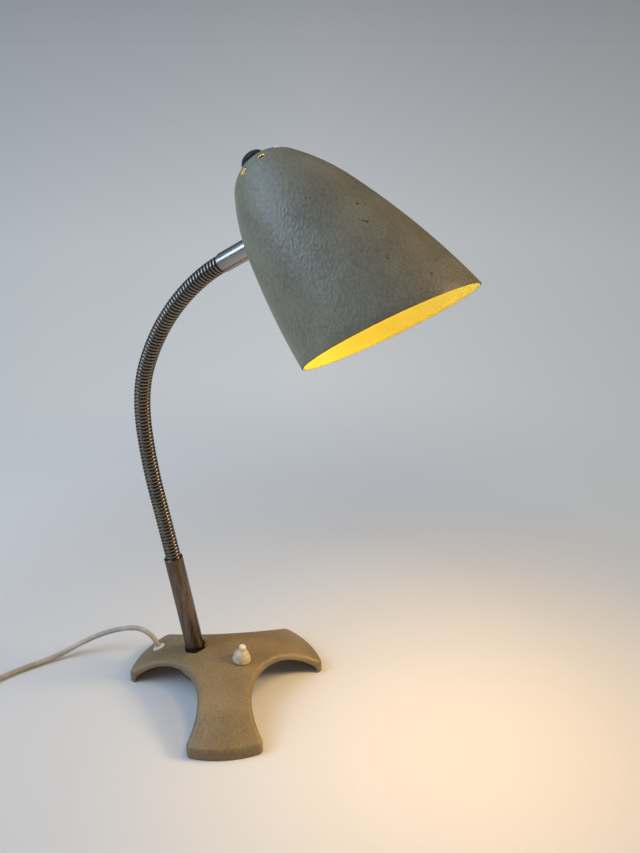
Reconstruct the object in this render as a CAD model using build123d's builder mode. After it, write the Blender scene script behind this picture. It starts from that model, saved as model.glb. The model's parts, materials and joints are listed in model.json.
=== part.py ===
from build123d import *
import os
from math import asin, cos, degrees, radians, sin, sqrt, tan

# Gooseneck desk lamp, millimetres.
# +Z is up and z = 0 is the table. +X is the way the lamp leans and its shade faces, and the XZ
# plane halves the lamp. The origin lies under the middle of the lamp's box, without the cord.
# A "lean" is an angle from upright, positive towards +X.

# ------------------------------------------------------------------ driving sizes: foot casting
base_x = -56.33  # centre of the foot
base_radius = 87.0
base_height = 36.0
foot_edge_height = 9.35  # height of the top surface at the rim of a foot
leg_cut_distance = 92.83  # three round bites leave the three legs
leg_cut_radius = 58.12
foot_corner_radius = 5.5
edge_rounding = 4.4
arch_height = 28.2  # underside of the vault at its middle
arch_power = 3.11
foot_pad_width = 5.0  # flat ring on which each foot stands
arch_steps = 9

well_middle = -7.0  # wiring well under the vault, from the centre of the foot
well_length = 70.0
well_width = 40.0
well_wall = 4.0
well_bottom = 15.0
well_root = 0.9  # how far the well's wall runs up into the vault
cover_thickness = 1.6
cover_boss_radius = 4.0
cover_screw_radius = 1.5
cover_screw_length = 6.0
screw_slot = 0.7
screw_head_height = 1.3

# ------------------------------------------------------------------ driving sizes: lower tube
tube_distance = 30.4  # tube foot behind the centre of the foot
tube_lean = -10.28
seat_depth = 0.5  # spot face for the nut, below the dome
neck_nut_flats = 17.0
neck_nut_height = 3.0
nut_bevel = 0.7
nut_turn = 5.0
tube_radius = 7.9
tube_top = 89.9  # top rim, from the spot face
tube_plug_length = 14.0
rim_chamfer = 0.3
nipple_radius = 5.0  # M10 lamp thread
nipple_bore = 3.5
nipple_hole = 5.2
neck_under_seat = 5.0  # underside spot face, below the top one
locknut_flats = 14.0
locknut_height = 3.0
washer_height = 1.0
washer_radius = 8.0
neck_nipple_tail = 0.8

# ------------------------------------------------------------------ driving sizes: gooseneck
link_length = 28.9
link_turns = [-1.0, 0.0, 4.0, 4.0, 10.0, 15.0, 9.0, 9.0, 9.0, 11.0]  # forward lean gained per link
ridge_radius = 6.5
valley_radius = 5.6
ridges_per_link = 5
socket_radius = 4.6
ball_radius = 4.3
ball_bore = 3.0
ball_latitude = 21.0
link_gap = 1.15  # from the joint's centre to the face of each link
ball_root = 3.4  # thick end of a link that carries the ball
gripped_length = 22.0  # plain tail inside the tube
slip = 0.05  # clearance of fitted round pieces

# ------------------------------------------------------------------ driving sizes: top ferrule
ferrule_radius = 7.1
ferrule_reach = 29.1  # from the end of the winding to the shade
ferrule_socket = 9.0
spigot_length = 11.0
saddle_radius = 8.5
saddle_height = 3.2

# ------------------------------------------------------------------ driving sizes: shade
shade_turn = 76.08  # shade axis against the ferrule
ferrule_station = 40.4  # where the ferrule meets the shade, along its axis from the apex
cap_arc_radius = 30.0
cap_arc_angle = 55.28
shoulder_arc_radius = 139.8
shoulder_arc_angle = 72.30
skirt_arc_radius = 507.5
skirt_arc_angle = 85.6
bell_band_counts = (6, 4, 5)  # cones along each arc
shade_wall = 0.8
mouth_station = 142.8
mouth_tilt = 15.0
hem_width = 2.4
hem_wall = 1.5
vent_count = 8
vent_ring_radius = 19.7
vent_radius = 2.25
apex_cap_radius = 8.25
apex_cap_height = 4.0

# ------------------------------------------------------------------ driving sizes: bulb holder
washer_station = 3.4
holder_neck_radius = 8.5
holder_neck_length = 3.0
holder_radius = 19.0
holder_shoulder = 17.0
holder_split = 24.0  # cap above, skirt below
holder_end = 52.0
holder_wall = 2.6
insert_top = 14.0
insert_bottom = 25.0
insert_radius = 15.6
insert_step = 2.8
holder_lip = 1.5
contact_width = 8.0
contact_length = 20.0
contact_thickness = 0.5
sleeve_outer = 14.1
sleeve_inner = 13.5
sleeve_start = 27.0
bulb_contact_radius = 4.8
bulb_contact_top = 26.8
bulb_cap_radius = 13.2
bulb_cap_top = 31.0
bulb_cap_end = 54.0
bulb_cap_wall = 0.6
bulb_radius = 30.0
bulb_length = 105.0
bulb_neck_radius = 14.6
bulb_neck_length = 7.0
bulb_flank_angle = 50.0  # where the flank meets the globe, from the holder's end
bulb_bands = 9
bulb_wall = 0.9
wire_radius = 0.9
wire_hole_radius = 2.9
wire_hole_station = 12.0

# ------------------------------------------------------------------ driving sizes: switch
switch_distance = 16.5  # switch in front of the centre of the foot
switch_lean = 6.5
switch_seat = 6.8  # underside spot face, below the dome
switch_neck_radius = 5.0
switch_hole_radius = 5.2
switch_body_radius = 8.0
switch_body_height = 9.6
switch_cavity_radius = 5.4
switch_cavity_height = 7.8
switch_nut_radius = 7.8
switch_nut_height = 10.5
switch_nut_tip = 4.0
switch_thread_length = 6.8
button_radius = 3.0
button_stands = 4.6  # button above the nut
button_travel = 3.0
button_flange = 4.9
button_flange_height = 1.2
button_slip = 0.1
switch_top_wall = 1.0
spring_radius = 4.6
spring_wire = 0.7
spring_coils = 3
lug_offset = 4.0
lug_width = 4.0
lug_thickness = 1.2
lug_height = 2.0

# ------------------------------------------------------------------ driving sizes: cord and plug
cord_radius = 2.3
grommet_inset = 17.0  # grommet inside the foot's rim
grommet_flange = 5.6
grommet_stem = 3.9
grommet_top = 1.5
grommet_under = 4.4
exit_height = 2.2  # outer end of the lead, above the dome
lead_drop = 3.2
lead_lift = 1.7
lead_bend_share = 0.28
clamp_rise = 0.5
clamp_rib = 2.0
block_length = 18.0
block_width = 16.0
block_height = 10.6
block_screw_radius = 1.8
block_screw_depth = 1.6
supply_height = 3.6
neck_wire_height = 6.0
wire_gap = 0.6  # wire ends short of a face that they meet at a slant
wire_room = 6.0
clamp_shift = 2.0  # clamp nearer the well than midway to the grommet
clamp_screw_offset = 6.5
clamp_boss_radius = 3.0
clamp_seat = 14.0
clamp_screw_radius = 1.2
clamp_screw_length = 5.0
lead_height = 18.6  # middle of the cord where it enters the well
notch_slip = 0.5
clamp_length = 19.0
clamp_width = 7.0
clamp_thickness = 1.2
coil_x = -230.6  # centre of the coil, from the centre of the foot
coil_y = -124.0
coil_inner = 20.7
coil_outer = 39.3
coil_height = 9.2
plug_front_radius = 15.0
plug_back_radius = 4.6
plug_length = 42.0
plug_rim = 6.0
plug_turn = 189.5  # heading of the plug, from +X
pin_radius = 2.4
pin_length = 19.0
pin_spacing = 19.0



def leaning_plane(x, z, lean):
    """A plane in the XZ plane of the lamp whose normal leans from upright."""
    tip = radians(lean)
    return Plane((x, 0, z), x_dir=(cos(tip), 0, -sin(tip)), z_dir=(sin(tip), 0, cos(tip)))


def section_of(plane):
    """The lengthwise section through a plane's normal: x is the radius, y runs along the normal."""
    return Plane(plane.origin, x_dir=plane.x_dir, z_dir=-plane.y_dir)


def axis_of(plane):
    return Axis(plane.origin, plane.z_dir)


def further(plane, turn, length):
    """The plane at the end of a round bend of this length that starts square to a plane."""
    angle = radians(turn)
    if abs(angle) < 1e-9:
        return plane.offset(length)
    step = length / angle
    bend = Location((step * (1 - cos(angle)), 0, step * sin(angle)), (0, turn, 0))
    return Plane((plane.location * bend))


def corner_radii(points, share=0.45):
    """Even bends along a route: a share of the shorter run over the tangent of half the turn."""
    radii = []
    for before, corner, after in zip(points, points[1:], points[2:]):
        run_in = Vector(corner) - Vector(before)
        run_out = Vector(after) - Vector(corner)
        half_turn = radians(run_in.get_angle(run_out)) / 2
        radii.append(share * min(run_in.length, run_out.length) / tan(half_turn))
    return radii


def finish(builder, name):
    """Label a finished piece and write its STEP file."""
    builder.part.label = name
    export_step(builder.part, f"parts/{name}.step")


os.makedirs("parts", exist_ok=True)

# ================================================================== foot
dome_rise = base_height - foot_edge_height
dome_radius = (base_radius**2 + dome_rise**2) / (2 * dome_rise)


def dome_z(distance):
    """Height of the dome at a distance from the centre of the foot."""
    return base_height - dome_radius + sqrt(dome_radius**2 - distance**2)


def arch_z(distance):
    """Height of the vault's underside."""
    return arch_height * (1 - (distance / base_radius) ** arch_power)


foot_plane = Plane((base_x, 0, 0))
well_plane = Plane((base_x + well_middle, 0, well_bottom))
neck_seat = leaning_plane(
    base_x - tube_distance, dome_z(tube_distance), tube_lean
).offset(-seat_depth)
switch_plane = leaning_plane(base_x + switch_distance, dome_z(switch_distance), switch_lean)
grommet_distance = base_radius - grommet_inset
grommet_lean = -degrees(asin(grommet_distance / dome_radius))
grommet_plane = leaning_plane(base_x - grommet_distance, dome_z(grommet_distance), grommet_lean)
well_top = arch_height + well_root
cover_boss_offset = well_width / 2 - well_wall - 1.0
well_end = well_length / 2 - well_middle
clamp_distance = (grommet_distance + well_end) / 2 - clamp_shift
clamp_x = base_x - clamp_distance

with BuildPart() as base_casting:
    with BuildSketch(foot_plane) as star:
        Circle(base_radius)
        with PolarLocations(leg_cut_distance, 3):
            Circle(leg_cut_radius, mode=Mode.SUBTRACT)
        fillet(star.vertices(), foot_corner_radius)
    extrude(amount=base_height)
    with BuildSketch(section_of(foot_plane)):
        with BuildLine():
            vault_end = base_radius - foot_pad_width - 1.5
            stations = [vault_end * sqrt(step / arch_steps) for step in range(arch_steps + 1)]
            Polyline(
                *[(r, arch_z(r)) for r in stations],
                (base_radius - foot_pad_width, 0),
                (base_radius, 0),
                (base_radius, base_height),
                (0, base_height),
                close=True,
            )
        make_face()
    revolve(axis=axis_of(foot_plane), mode=Mode.INTERSECT)
    # the sphere's poles and seam point away from the dome, which is one whole face
    with Locations(Plane((base_x, 0, base_height - dome_radius), (0, 0, -1), (0, 1, 0))):
        Sphere(dome_radius, mode=Mode.INTERSECT)
    dome = base_casting.faces().filter_by(GeomType.SPHERE)[0]
    fillet(dome.outer_wire().edges(), edge_rounding)
    # wiring well, its screw bosses and the two clamp bosses hang from the vault
    with BuildSketch(well_plane):
        SlotOverall(well_length, well_width)
        SlotOverall(well_length - 2 * well_wall, well_width - 2 * well_wall, mode=Mode.SUBTRACT)
        with GridLocations(0, 2 * cover_boss_offset, 1, 2):
            Circle(cover_boss_radius)
    extrude(amount=well_top - well_bottom)
    with BuildSketch(Plane((clamp_x, 0, clamp_seat))):
        with GridLocations(0, 2 * clamp_screw_offset, 1, 2):
            Circle(clamp_boss_radius)
    extrude(amount=arch_z(clamp_distance) + 1.5 - clamp_seat)
    # screw holes and the cord's notch into the well
    with BuildSketch(well_plane):
        with GridLocations(0, 2 * cover_boss_offset, 1, 2):
            Circle(cover_screw_radius + slip)
    extrude(amount=cover_screw_length + 1.0, mode=Mode.SUBTRACT)
    with BuildSketch(Plane((clamp_x, 0, clamp_seat))):
        with GridLocations(0, 2 * clamp_screw_offset, 1, 2):
            Circle(clamp_screw_radius + slip)
    extrude(amount=clamp_screw_length + 1.0, mode=Mode.SUBTRACT)
    notch_plane = Plane((base_x + well_middle - well_length / 2 - 1.0, 0, 0), (0, 1, 0), (1, 0, 0))
    with BuildSketch(notch_plane):
        with Locations((0, lead_height)):
            Circle(cord_radius + notch_slip)
        with Locations((0, (lead_height + well_bottom) / 2)):
            Rectangle(2 * (cord_radius + notch_slip), lead_height - well_bottom)
    extrude(amount=well_wall + 2.0, mode=Mode.SUBTRACT)
    # spot faces and holes for tube, switch and grommet
    with BuildSketch(neck_seat):
        Circle(neck_nut_flats / sqrt(3) + 0.4)
    extrude(amount=2 * seat_depth + 1.0, mode=Mode.SUBTRACT)
    with BuildSketch(neck_seat.offset(-neck_under_seat)):
        Circle(washer_radius + 0.4)
    extrude(amount=-neck_under_seat, mode=Mode.SUBTRACT)
    with BuildSketch(neck_seat):
        Circle(nipple_hole)
    extrude(amount=-2 * neck_under_seat, mode=Mode.SUBTRACT)
    with BuildSketch(switch_plane.offset(-switch_seat)):
        Circle(switch_body_radius + 0.4)
    extrude(amount=-switch_body_height - lug_height, mode=Mode.SUBTRACT)
    with BuildSketch(switch_plane.offset(1.0)):
        Circle(switch_hole_radius)
    extrude(amount=-2 * switch_seat, mode=Mode.SUBTRACT)
    with BuildSketch(grommet_plane.offset(-0.3)):
        Circle(grommet_flange + 0.3)
    extrude(amount=2.0, mode=Mode.SUBTRACT)
    with BuildSketch(grommet_plane.offset(-grommet_under)):
        Circle(grommet_flange + 0.3)
    extrude(amount=-grommet_under, mode=Mode.SUBTRACT)
    with BuildSketch(grommet_plane):
        Circle(grommet_stem + slip)
    extrude(amount=-2 * grommet_under, mode=Mode.SUBTRACT)
finish(base_casting, "base_casting")


with BuildPart() as base_cover:
    with BuildSketch(well_plane):
        SlotOverall(well_length, well_width)
        with GridLocations(0, 2 * cover_boss_offset, 1, 2):
            Circle(cover_screw_radius + slip, mode=Mode.SUBTRACT)
    extrude(amount=-cover_thickness)
finish(base_cover, "base_cover")

with BuildPart() as cover_screws:
    head_plane = well_plane.offset(-cover_thickness - screw_head_height)
    with BuildSketch(head_plane):
        with GridLocations(0, 2 * cover_boss_offset, 1, 2):
            Circle(2 * cover_screw_radius)
    extrude(amount=screw_head_height)
    with BuildSketch(head_plane):
        with GridLocations(0, 2 * cover_boss_offset, 1, 2):
            Circle(cover_screw_radius)
    extrude(amount=screw_head_height + cover_thickness + cover_screw_length)
    with BuildSketch(head_plane):
        with GridLocations(0, 2 * cover_boss_offset, 1, 2):
            Rectangle(4 * cover_screw_radius, screw_slot)
    extrude(amount=screw_slot, mode=Mode.SUBTRACT)
finish(cover_screws, "cover_screws")

# ================================================================== tube on its nipple
tube_start = neck_nut_height
plug_end = tube_start + tube_plug_length
tube_bore = ridge_radius + slip
under_plane = neck_seat.offset(-neck_under_seat)
nipple_end = neck_under_seat + washer_height + locknut_height + neck_nipple_tail

with BuildPart() as neck_nut:
    with BuildSketch(neck_seat):
        RegularPolygon(neck_nut_flats / 2, 6, major_radius=False, rotation=nut_turn)
    extrude(amount=neck_nut_height)
    with BuildSketch(section_of(neck_seat)):
        corner = neck_nut_flats / sqrt(3)
        with BuildLine():
            Polyline(
                (0, 0),
                (corner - nut_bevel, 0),
                (corner, nut_bevel / 2),
                (corner, neck_nut_height - nut_bevel / 2),
                (corner - nut_bevel, neck_nut_height),
                (0, neck_nut_height),
                close=True,
            )
        make_face()
    revolve(axis=axis_of(neck_seat), mode=Mode.INTERSECT)
    with BuildSketch(neck_seat):
        Circle(nipple_radius + slip)
    extrude(amount=neck_nut_height, mode=Mode.SUBTRACT)
finish(neck_nut, "neck_nut")

with BuildPart() as lower_tube:
    with BuildSketch(neck_seat.offset(tube_start)):
        Circle(tube_radius)
        Circle(tube_bore, mode=Mode.SUBTRACT)
    extrude(amount=tube_top - tube_start)
    chamfer(lower_tube.edges().sort_by(axis_of(neck_seat))[-2:], rim_chamfer)
finish(lower_tube, "lower_tube")

with BuildPart() as tube_plug:
    with BuildSketch(neck_seat.offset(tube_start)):
        Circle(tube_bore - slip)
        Circle(nipple_radius + slip, mode=Mode.SUBTRACT)
    extrude(amount=tube_plug_length)
finish(tube_plug, "tube_plug")

with BuildPart() as neck_nipple:
    with BuildSketch(neck_seat.offset(-nipple_end)):
        Circle(nipple_radius)
        Circle(nipple_bore, mode=Mode.SUBTRACT)
    extrude(amount=nipple_end + plug_end)
finish(neck_nipple, "neck_nipple")

with BuildPart() as neck_washer:
    with BuildSketch(under_plane):
        Circle(washer_radius)
        Circle(nipple_radius + slip, mode=Mode.SUBTRACT)
    extrude(amount=-washer_height)
finish(neck_washer, "neck_washer")

with BuildPart() as neck_locknut:
    with BuildSketch(under_plane.offset(-washer_height)):
        RegularPolygon(locknut_flats / 2, 6, major_radius=False)
        Circle(nipple_radius + slip, mode=Mode.SUBTRACT)
    extrude(amount=-locknut_height)
finish(neck_locknut, "neck_locknut")

# ================================================================== gooseneck
# Each link is a length of the winding: round ridges and valleys along an arc, a socket all
# the way down from its upper face, and below it a hollow ball in the next link's socket.
joint_planes = [neck_seat.offset(tube_top)]
for turn in link_turns:
    joint_planes.append(further(joint_planes[-1], turn, link_length))

link_count = len(link_turns)
for number, (turn, start) in enumerate(zip(link_turns, joint_planes), 1):
    first = number == 1
    last = number == link_count
    lower_face = 0 if first else link_gap
    upper_face = link_length if last else link_length - link_gap
    half_pitch = (upper_face - lower_face) / (2 * ridges_per_link)
    with BuildPart() as link:
        for step in range(2 * ridges_per_link + 1):
            reach = lower_face + step * half_pitch
            with BuildSketch(further(start, turn * reach / link_length, reach)):
                Circle(ridge_radius if step % 2 else valley_radius)
        loft(ruled=True)
        if first:
            with BuildSketch(start):
                Circle(ridge_radius)
            extrude(amount=-gripped_length)
        if last:
            with BuildSketch(joint_planes[number]):
                Circle(ridge_radius)
            extrude(amount=ferrule_socket)
            with BuildSketch(joint_planes[number]):
                Circle(socket_radius)
            extrude(amount=ferrule_socket, mode=Mode.SUBTRACT)
        bore_start = 0 if first else ball_root
        for reach in (bore_start, (bore_start + link_length) / 2, link_length):
            with BuildSketch(further(start, turn * reach / link_length, reach)):
                Circle(socket_radius)
        loft(ruled=True, mode=Mode.SUBTRACT)
        if first:
            with BuildSketch(start):
                Circle(socket_radius)
            extrude(amount=-gripped_length, mode=Mode.SUBTRACT)
        else:
            # the ball is a drum with a tapered end, cut within a sphere about the joint
            ball_low = sqrt(ball_radius**2 - ball_bore**2)
            drum_radius = ball_radius * cos(radians(ball_latitude))
            drum_half = ball_radius * sin(radians(ball_latitude))
            with BuildSketch(section_of(start)):
                with BuildLine():
                    Polyline(
                        (0, -ball_low),
                        (ball_bore + slip, -ball_low),
                        (drum_radius, -drum_half),
                        (drum_radius, drum_half),
                        (0, drum_half),
                        close=True,
                    )
                make_face()
            revolve(axis=axis_of(start))
            with BuildSketch(start.offset(-ball_radius)):
                Circle(ball_bore)
            extrude(amount=ball_radius + ball_root + 0.5, mode=Mode.SUBTRACT)
    finish(link, f"gooseneck_{number}")

ferrule_plane = joint_planes[-1]

# ================================================================== shade
def arc_centres():
    """Centres of the shade's three tangent arcs, as (radius, distance from the apex)."""
    radii = (cap_arc_radius, shoulder_arc_radius, skirt_arc_radius)
    centre = Vector(0, cap_arc_radius)
    centres = [centre]
    for small, large, angle in zip(radii, radii[1:], (cap_arc_angle, shoulder_arc_angle)):
        tip = radians(angle)
        centre = centre + Vector(sin(tip), -cos(tip)) * (small - large)
        centres.append(centre)
    return centres


def bell_radius(station):
    """Outer radius of the shade's shoulder at a distance from the apex."""
    centre = arc_centres()[1]
    return centre.X + sqrt(shoulder_arc_radius**2 - (station - centre.Y) ** 2)


wall_radius = bell_radius(ferrule_station)
wall_plane = Plane(ferrule_plane.offset(ferrule_reach).location * Location((0, 0, 0), (0, shade_turn, 0)))
shade_plane = Plane(wall_plane.location * Location((-wall_radius, 0, -ferrule_station)))
shade_axis = axis_of(shade_plane)
cap_centre = shade_plane.offset(cap_arc_radius)
mouth_plane = Plane(shade_plane.offset(mouth_station).location * Location((0, 0, 0), (0, mouth_tilt, 0)))


def bell_outline(inset):
    """Half the shade's section, inset by a wall: narrow cones that follow the three arcs."""
    radii = (cap_arc_radius, shoulder_arc_radius, skirt_arc_radius)
    angles = (0, cap_arc_angle, shoulder_arc_angle, skirt_arc_angle)
    outline = [(0, inset)]
    for centre, radius, begin, end, bands in zip(
        arc_centres(), radii, angles, angles[1:], bell_band_counts
    ):
        for band in range(1, bands + 1):
            tip = radians(begin + (end - begin) * band / bands)
            reach = radius - inset
            outline.append((centre.X + reach * sin(tip), centre.Y - reach * cos(tip)))
    Polyline(*outline, (0, outline[-1][1]), close=True)


with BuildPart() as bell:
    with BuildSketch(section_of(shade_plane)):
        with BuildLine():
            bell_outline(0)
        make_face()
    revolve(axis=shade_axis)

with BuildPart() as bell_inside:
    with BuildSketch(section_of(shade_plane)):
        with BuildLine():
            bell_outline(shade_wall)
        make_face()
    revolve(axis=shade_axis)
    split(bisect_by=mouth_plane.offset(-hem_width), keep=Keep.BOTTOM)

with BuildPart() as hem_inside:
    with BuildSketch(section_of(shade_plane)):
        with BuildLine():
            bell_outline(hem_wall)
        make_face()
    revolve(axis=shade_axis)

with BuildPart() as shade:
    add(bell.part)
    split(bisect_by=mouth_plane, keep=Keep.BOTTOM)
    add(bell_inside.part, mode=Mode.SUBTRACT)
    add(hem_inside.part, mode=Mode.SUBTRACT)
    vent_angle = degrees(asin(vent_ring_radius / cap_arc_radius))
    for vent in range(vent_count):
        around = Location((0, 0, 0), (0, 0, vent * 360 / vent_count))
        outward = Location((0, 0, 0), (0, 180 - vent_angle, 0))
        with BuildSketch(Plane(cap_centre.location * around * outward).offset(0.9 * cap_arc_radius)):
            Circle(vent_radius)
        extrude(amount=0.2 * cap_arc_radius, mode=Mode.SUBTRACT)
    with BuildSketch(shade_plane.offset(-1.0)):
        Circle(nipple_hole)
    extrude(amount=2.0 + shade_wall, mode=Mode.SUBTRACT)
    with BuildSketch(ferrule_plane.offset(ferrule_reach - ferrule_radius)):
        Circle(nipple_hole)
    extrude(amount=2 * ferrule_radius, mode=Mode.SUBTRACT)
finish(shade, "shade")

# ================================================================== top ferrule in the shade's wall
spigot_end = ferrule_reach + spigot_length

with BuildPart() as top_ferrule:
    with BuildSketch(ferrule_plane):
        Circle(ferrule_radius)
    extrude(amount=ferrule_reach + ferrule_radius)
    chamfer(top_ferrule.edges().sort_by(axis_of(ferrule_plane))[0], rim_chamfer)
    add(bell.part, mode=Mode.SUBTRACT)
    with BuildSketch(ferrule_plane.offset(ferrule_socket)):
        Circle(nipple_radius)
    extrude(amount=spigot_end - ferrule_socket)
    with BuildSketch(ferrule_plane):
        Circle(ridge_radius + slip)
    extrude(amount=ferrule_socket + slip, mode=Mode.SUBTRACT)
    with BuildSketch(ferrule_plane):
        Circle(nipple_bore)
    extrude(amount=spigot_end, mode=Mode.SUBTRACT)
finish(top_ferrule, "top_ferrule")

saddle_face = ferrule_plane.offset(ferrule_reach + saddle_height)

with BuildPart() as ferrule_saddle:
    with BuildSketch(saddle_face):
        Circle(saddle_radius)
    extrude(amount=-2 * saddle_height)
    add(bell_inside.part, mode=Mode.INTERSECT)
    with BuildSketch(saddle_face):
        Circle(nipple_radius + slip)
    extrude(amount=-2 * saddle_height, mode=Mode.SUBTRACT)
finish(ferrule_saddle, "ferrule_saddle")

with BuildPart() as ferrule_nut:
    with BuildSketch(saddle_face):
        RegularPolygon(locknut_flats / 2, 6, major_radius=False)
        Circle(nipple_radius + slip, mode=Mode.SUBTRACT)
    extrude(amount=locknut_height)
finish(ferrule_nut, "ferrule_nut")

# ================================================================== cap nut and bulb holder
holder_nipple_end = washer_station + holder_neck_length + 1.5

with BuildPart() as apex_cap:
    with BuildSketch(section_of(shade_plane)):
        with BuildLine():
            ThreePointArc(
                (0, -apex_cap_height),
                (0.62 * apex_cap_radius, -0.78 * apex_cap_height),
                (apex_cap_radius, -0.1 * apex_cap_height),
            )
            Polyline(
                (apex_cap_radius, -0.1 * apex_cap_height),
                (apex_cap_radius, 2.0),
                (0, 2.0),
                (0, -apex_cap_height),
            )
        make_face()
    revolve(axis=shade_axis)
    add(bell.part, mode=Mode.SUBTRACT)
    with BuildSketch(shade_plane.offset(-0.5 * apex_cap_height - slip)):
        Circle(nipple_radius + slip)
    extrude(amount=apex_cap_height, mode=Mode.SUBTRACT)
finish(apex_cap, "apex_cap")

with BuildPart() as holder_nipple:
    with BuildSketch(shade_plane.offset(-0.5 * apex_cap_height)):
        Circle(nipple_radius)
        Circle(nipple_bore, mode=Mode.SUBTRACT)
    extrude(amount=0.5 * apex_cap_height + holder_nipple_end)
finish(holder_nipple, "holder_nipple")

with BuildPart() as dished_washer:
    with BuildSketch(shade_plane):
        Circle(holder_neck_radius + 0.5)
    extrude(amount=washer_station)
    add(bell_inside.part, mode=Mode.INTERSECT)
    with BuildSketch(shade_plane):
        Circle(nipple_radius + slip)
    extrude(amount=washer_station, mode=Mode.SUBTRACT)
finish(dished_washer, "dished_washer")

wire_hole_place = shade_plane.offset(wire_hole_station).location
wire_hole_plane = Plane(wire_hole_place * Location((0, 0, 0), (0, 90, 0)))

with BuildPart() as holder_cap:
    with BuildSketch(section_of(shade_plane)):
        neck_end = washer_station + holder_neck_length
        cup_top = insert_top - 2.0
        with BuildLine():
            Polyline(
                (nipple_radius + slip, washer_station),
                (holder_neck_radius, washer_station),
                (holder_neck_radius, neck_end),
            )
            dome_width = holder_radius - holder_neck_radius
            dome_depth = holder_shoulder - neck_end
            Polyline(
                (holder_neck_radius, neck_end),
                (
                    holder_neck_radius + dome_width * sin(radians(45)),
                    holder_shoulder - dome_depth * cos(radians(45)),
                ),
                (holder_radius, holder_shoulder),
            )
            Polyline(
                (holder_radius, holder_shoulder),
                (holder_radius, holder_split),
                (insert_radius + slip, holder_split),
                (insert_radius + slip, holder_shoulder),
                (holder_neck_radius + 1.5, neck_end + holder_wall),
                (nipple_radius + slip, neck_end + holder_wall),
                (nipple_radius + slip, washer_station),
            )
        make_face()
    revolve(axis=shade_axis)
    # side hole for the wires, towards the ferrule
    with BuildSketch(wire_hole_plane):
        Circle(wire_hole_radius)
    extrude(amount=holder_radius, mode=Mode.SUBTRACT)
finish(holder_cap, "holder_cap")

with BuildPart() as holder_insert:
    with BuildSketch(shade_plane.offset(insert_top)):
        Circle(insert_radius - insert_step)
    extrude(amount=insert_bottom - insert_top)
    with BuildSketch(shade_plane.offset(holder_shoulder + 1.0)):
        Circle(insert_radius)
    extrude(amount=insert_bottom - holder_shoulder - 1.0)
finish(holder_insert, "holder_insert")

with BuildPart() as holder_skirt:
    with BuildSketch(section_of(shade_plane)):
        with BuildLine():
            Polyline(
                (insert_radius + slip, holder_split),
                (holder_radius, holder_split),
                (holder_radius, holder_end - holder_lip),
                (holder_radius - holder_lip, holder_end),
                (sleeve_outer + slip, holder_end),
                (sleeve_outer + slip, insert_bottom + slip),
                (insert_radius + slip, insert_bottom + slip),
                close=True,
            )
        make_face()
    revolve(axis=shade_axis)
finish(holder_skirt, "holder_skirt")

with BuildPart() as thread_sleeve:
    with BuildSketch(shade_plane.offset(sleeve_start)):
        Circle(sleeve_outer)
        Circle(sleeve_inner, mode=Mode.SUBTRACT)
    extrude(amount=holder_end - 2.0 - sleeve_start)
finish(thread_sleeve, "thread_sleeve")

with BuildPart() as centre_contact:
    with BuildSketch(shade_plane.offset(insert_bottom)):
        Rectangle(contact_width, contact_length)
    extrude(amount=contact_thickness)
    with BuildSketch(shade_plane.offset(insert_bottom)):
        Circle(contact_width / 2)
    extrude(amount=bulb_contact_top - slip - insert_bottom)
finish(centre_contact, "centre_contact")

# ================================================================== bulb
bulb_end = bulb_contact_top + bulb_length
bulb_centre = bulb_end - bulb_radius
neck_stop = bulb_cap_end - 4.0


def bulb_outline(inset, begin):
    """Half the bulb's section: a straight neck, a flank and narrow cones that follow the globe."""
    globe = bulb_radius - inset
    stem = bulb_cap_radius - bulb_cap_wall - slip - inset
    outline = [
        (0, begin),
        (stem, begin),
        (stem, bulb_cap_end),
        (bulb_neck_radius - inset, bulb_cap_end + 1.0),
        (bulb_neck_radius - inset, bulb_cap_end + bulb_neck_length),
    ]
    for band in range(bulb_bands + 1):
        tip = radians(bulb_flank_angle + (180 - bulb_flank_angle) * band / bulb_bands)
        outline.append((globe * sin(tip), bulb_centre - globe * cos(tip)))
    Polyline(*outline, close=True)


with BuildPart() as bulb_glass:
    with BuildSketch(section_of(shade_plane)):
        with BuildLine():
            bulb_outline(0, neck_stop)
        make_face()
    revolve(axis=shade_axis)
    with BuildSketch(section_of(shade_plane)):
        with BuildLine():
            bulb_outline(bulb_wall, neck_stop)
        make_face()
    revolve(axis=shade_axis, mode=Mode.SUBTRACT)
finish(bulb_glass, "bulb_glass")

with BuildPart() as bulb_cap:
    with BuildSketch(section_of(shade_plane)):
        inner = bulb_cap_radius - bulb_cap_wall
        with BuildLine():
            Polyline(
                (bulb_cap_radius, bulb_cap_end),
                (bulb_cap_radius, bulb_cap_top + 1.0),
                (bulb_cap_radius - 1.0, bulb_cap_top),
                (bulb_contact_radius + 1.5, bulb_contact_top + 1.6),
                (bulb_contact_radius + 1.5, bulb_cap_top + bulb_cap_wall),
                (inner, bulb_cap_top + bulb_cap_wall),
                (inner, bulb_cap_end),
                close=True,
            )
        make_face()
    revolve(axis=shade_axis)
finish(bulb_cap, "bulb_cap")

with BuildPart() as bulb_contact:
    with BuildSketch(shade_plane.offset(bulb_contact_top)):
        Circle(bulb_contact_radius)
    extrude(amount=1.6)
    with BuildSketch(shade_plane.offset(bulb_contact_top + 1.6)):
        Circle(bulb_contact_radius + 1.5)
    extrude(amount=bulb_cap_top - bulb_contact_top - 1.6)
finish(bulb_contact, "bulb_contact")


def cord(points, bend_share=0.45):
    """Sweep the cord along straight runs joined by even bends, and return its length."""
    with BuildLine() as path:
        FilletPolyline(*points, radius=corner_radii(points, bend_share))
    with BuildSketch(Plane(path.line @ 0, z_dir=path.line % 0)) as outline:
        Circle(cord_radius)
    sweep(sections=outline.sketch, path=path.line)
    return path.wires()[0].length


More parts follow.
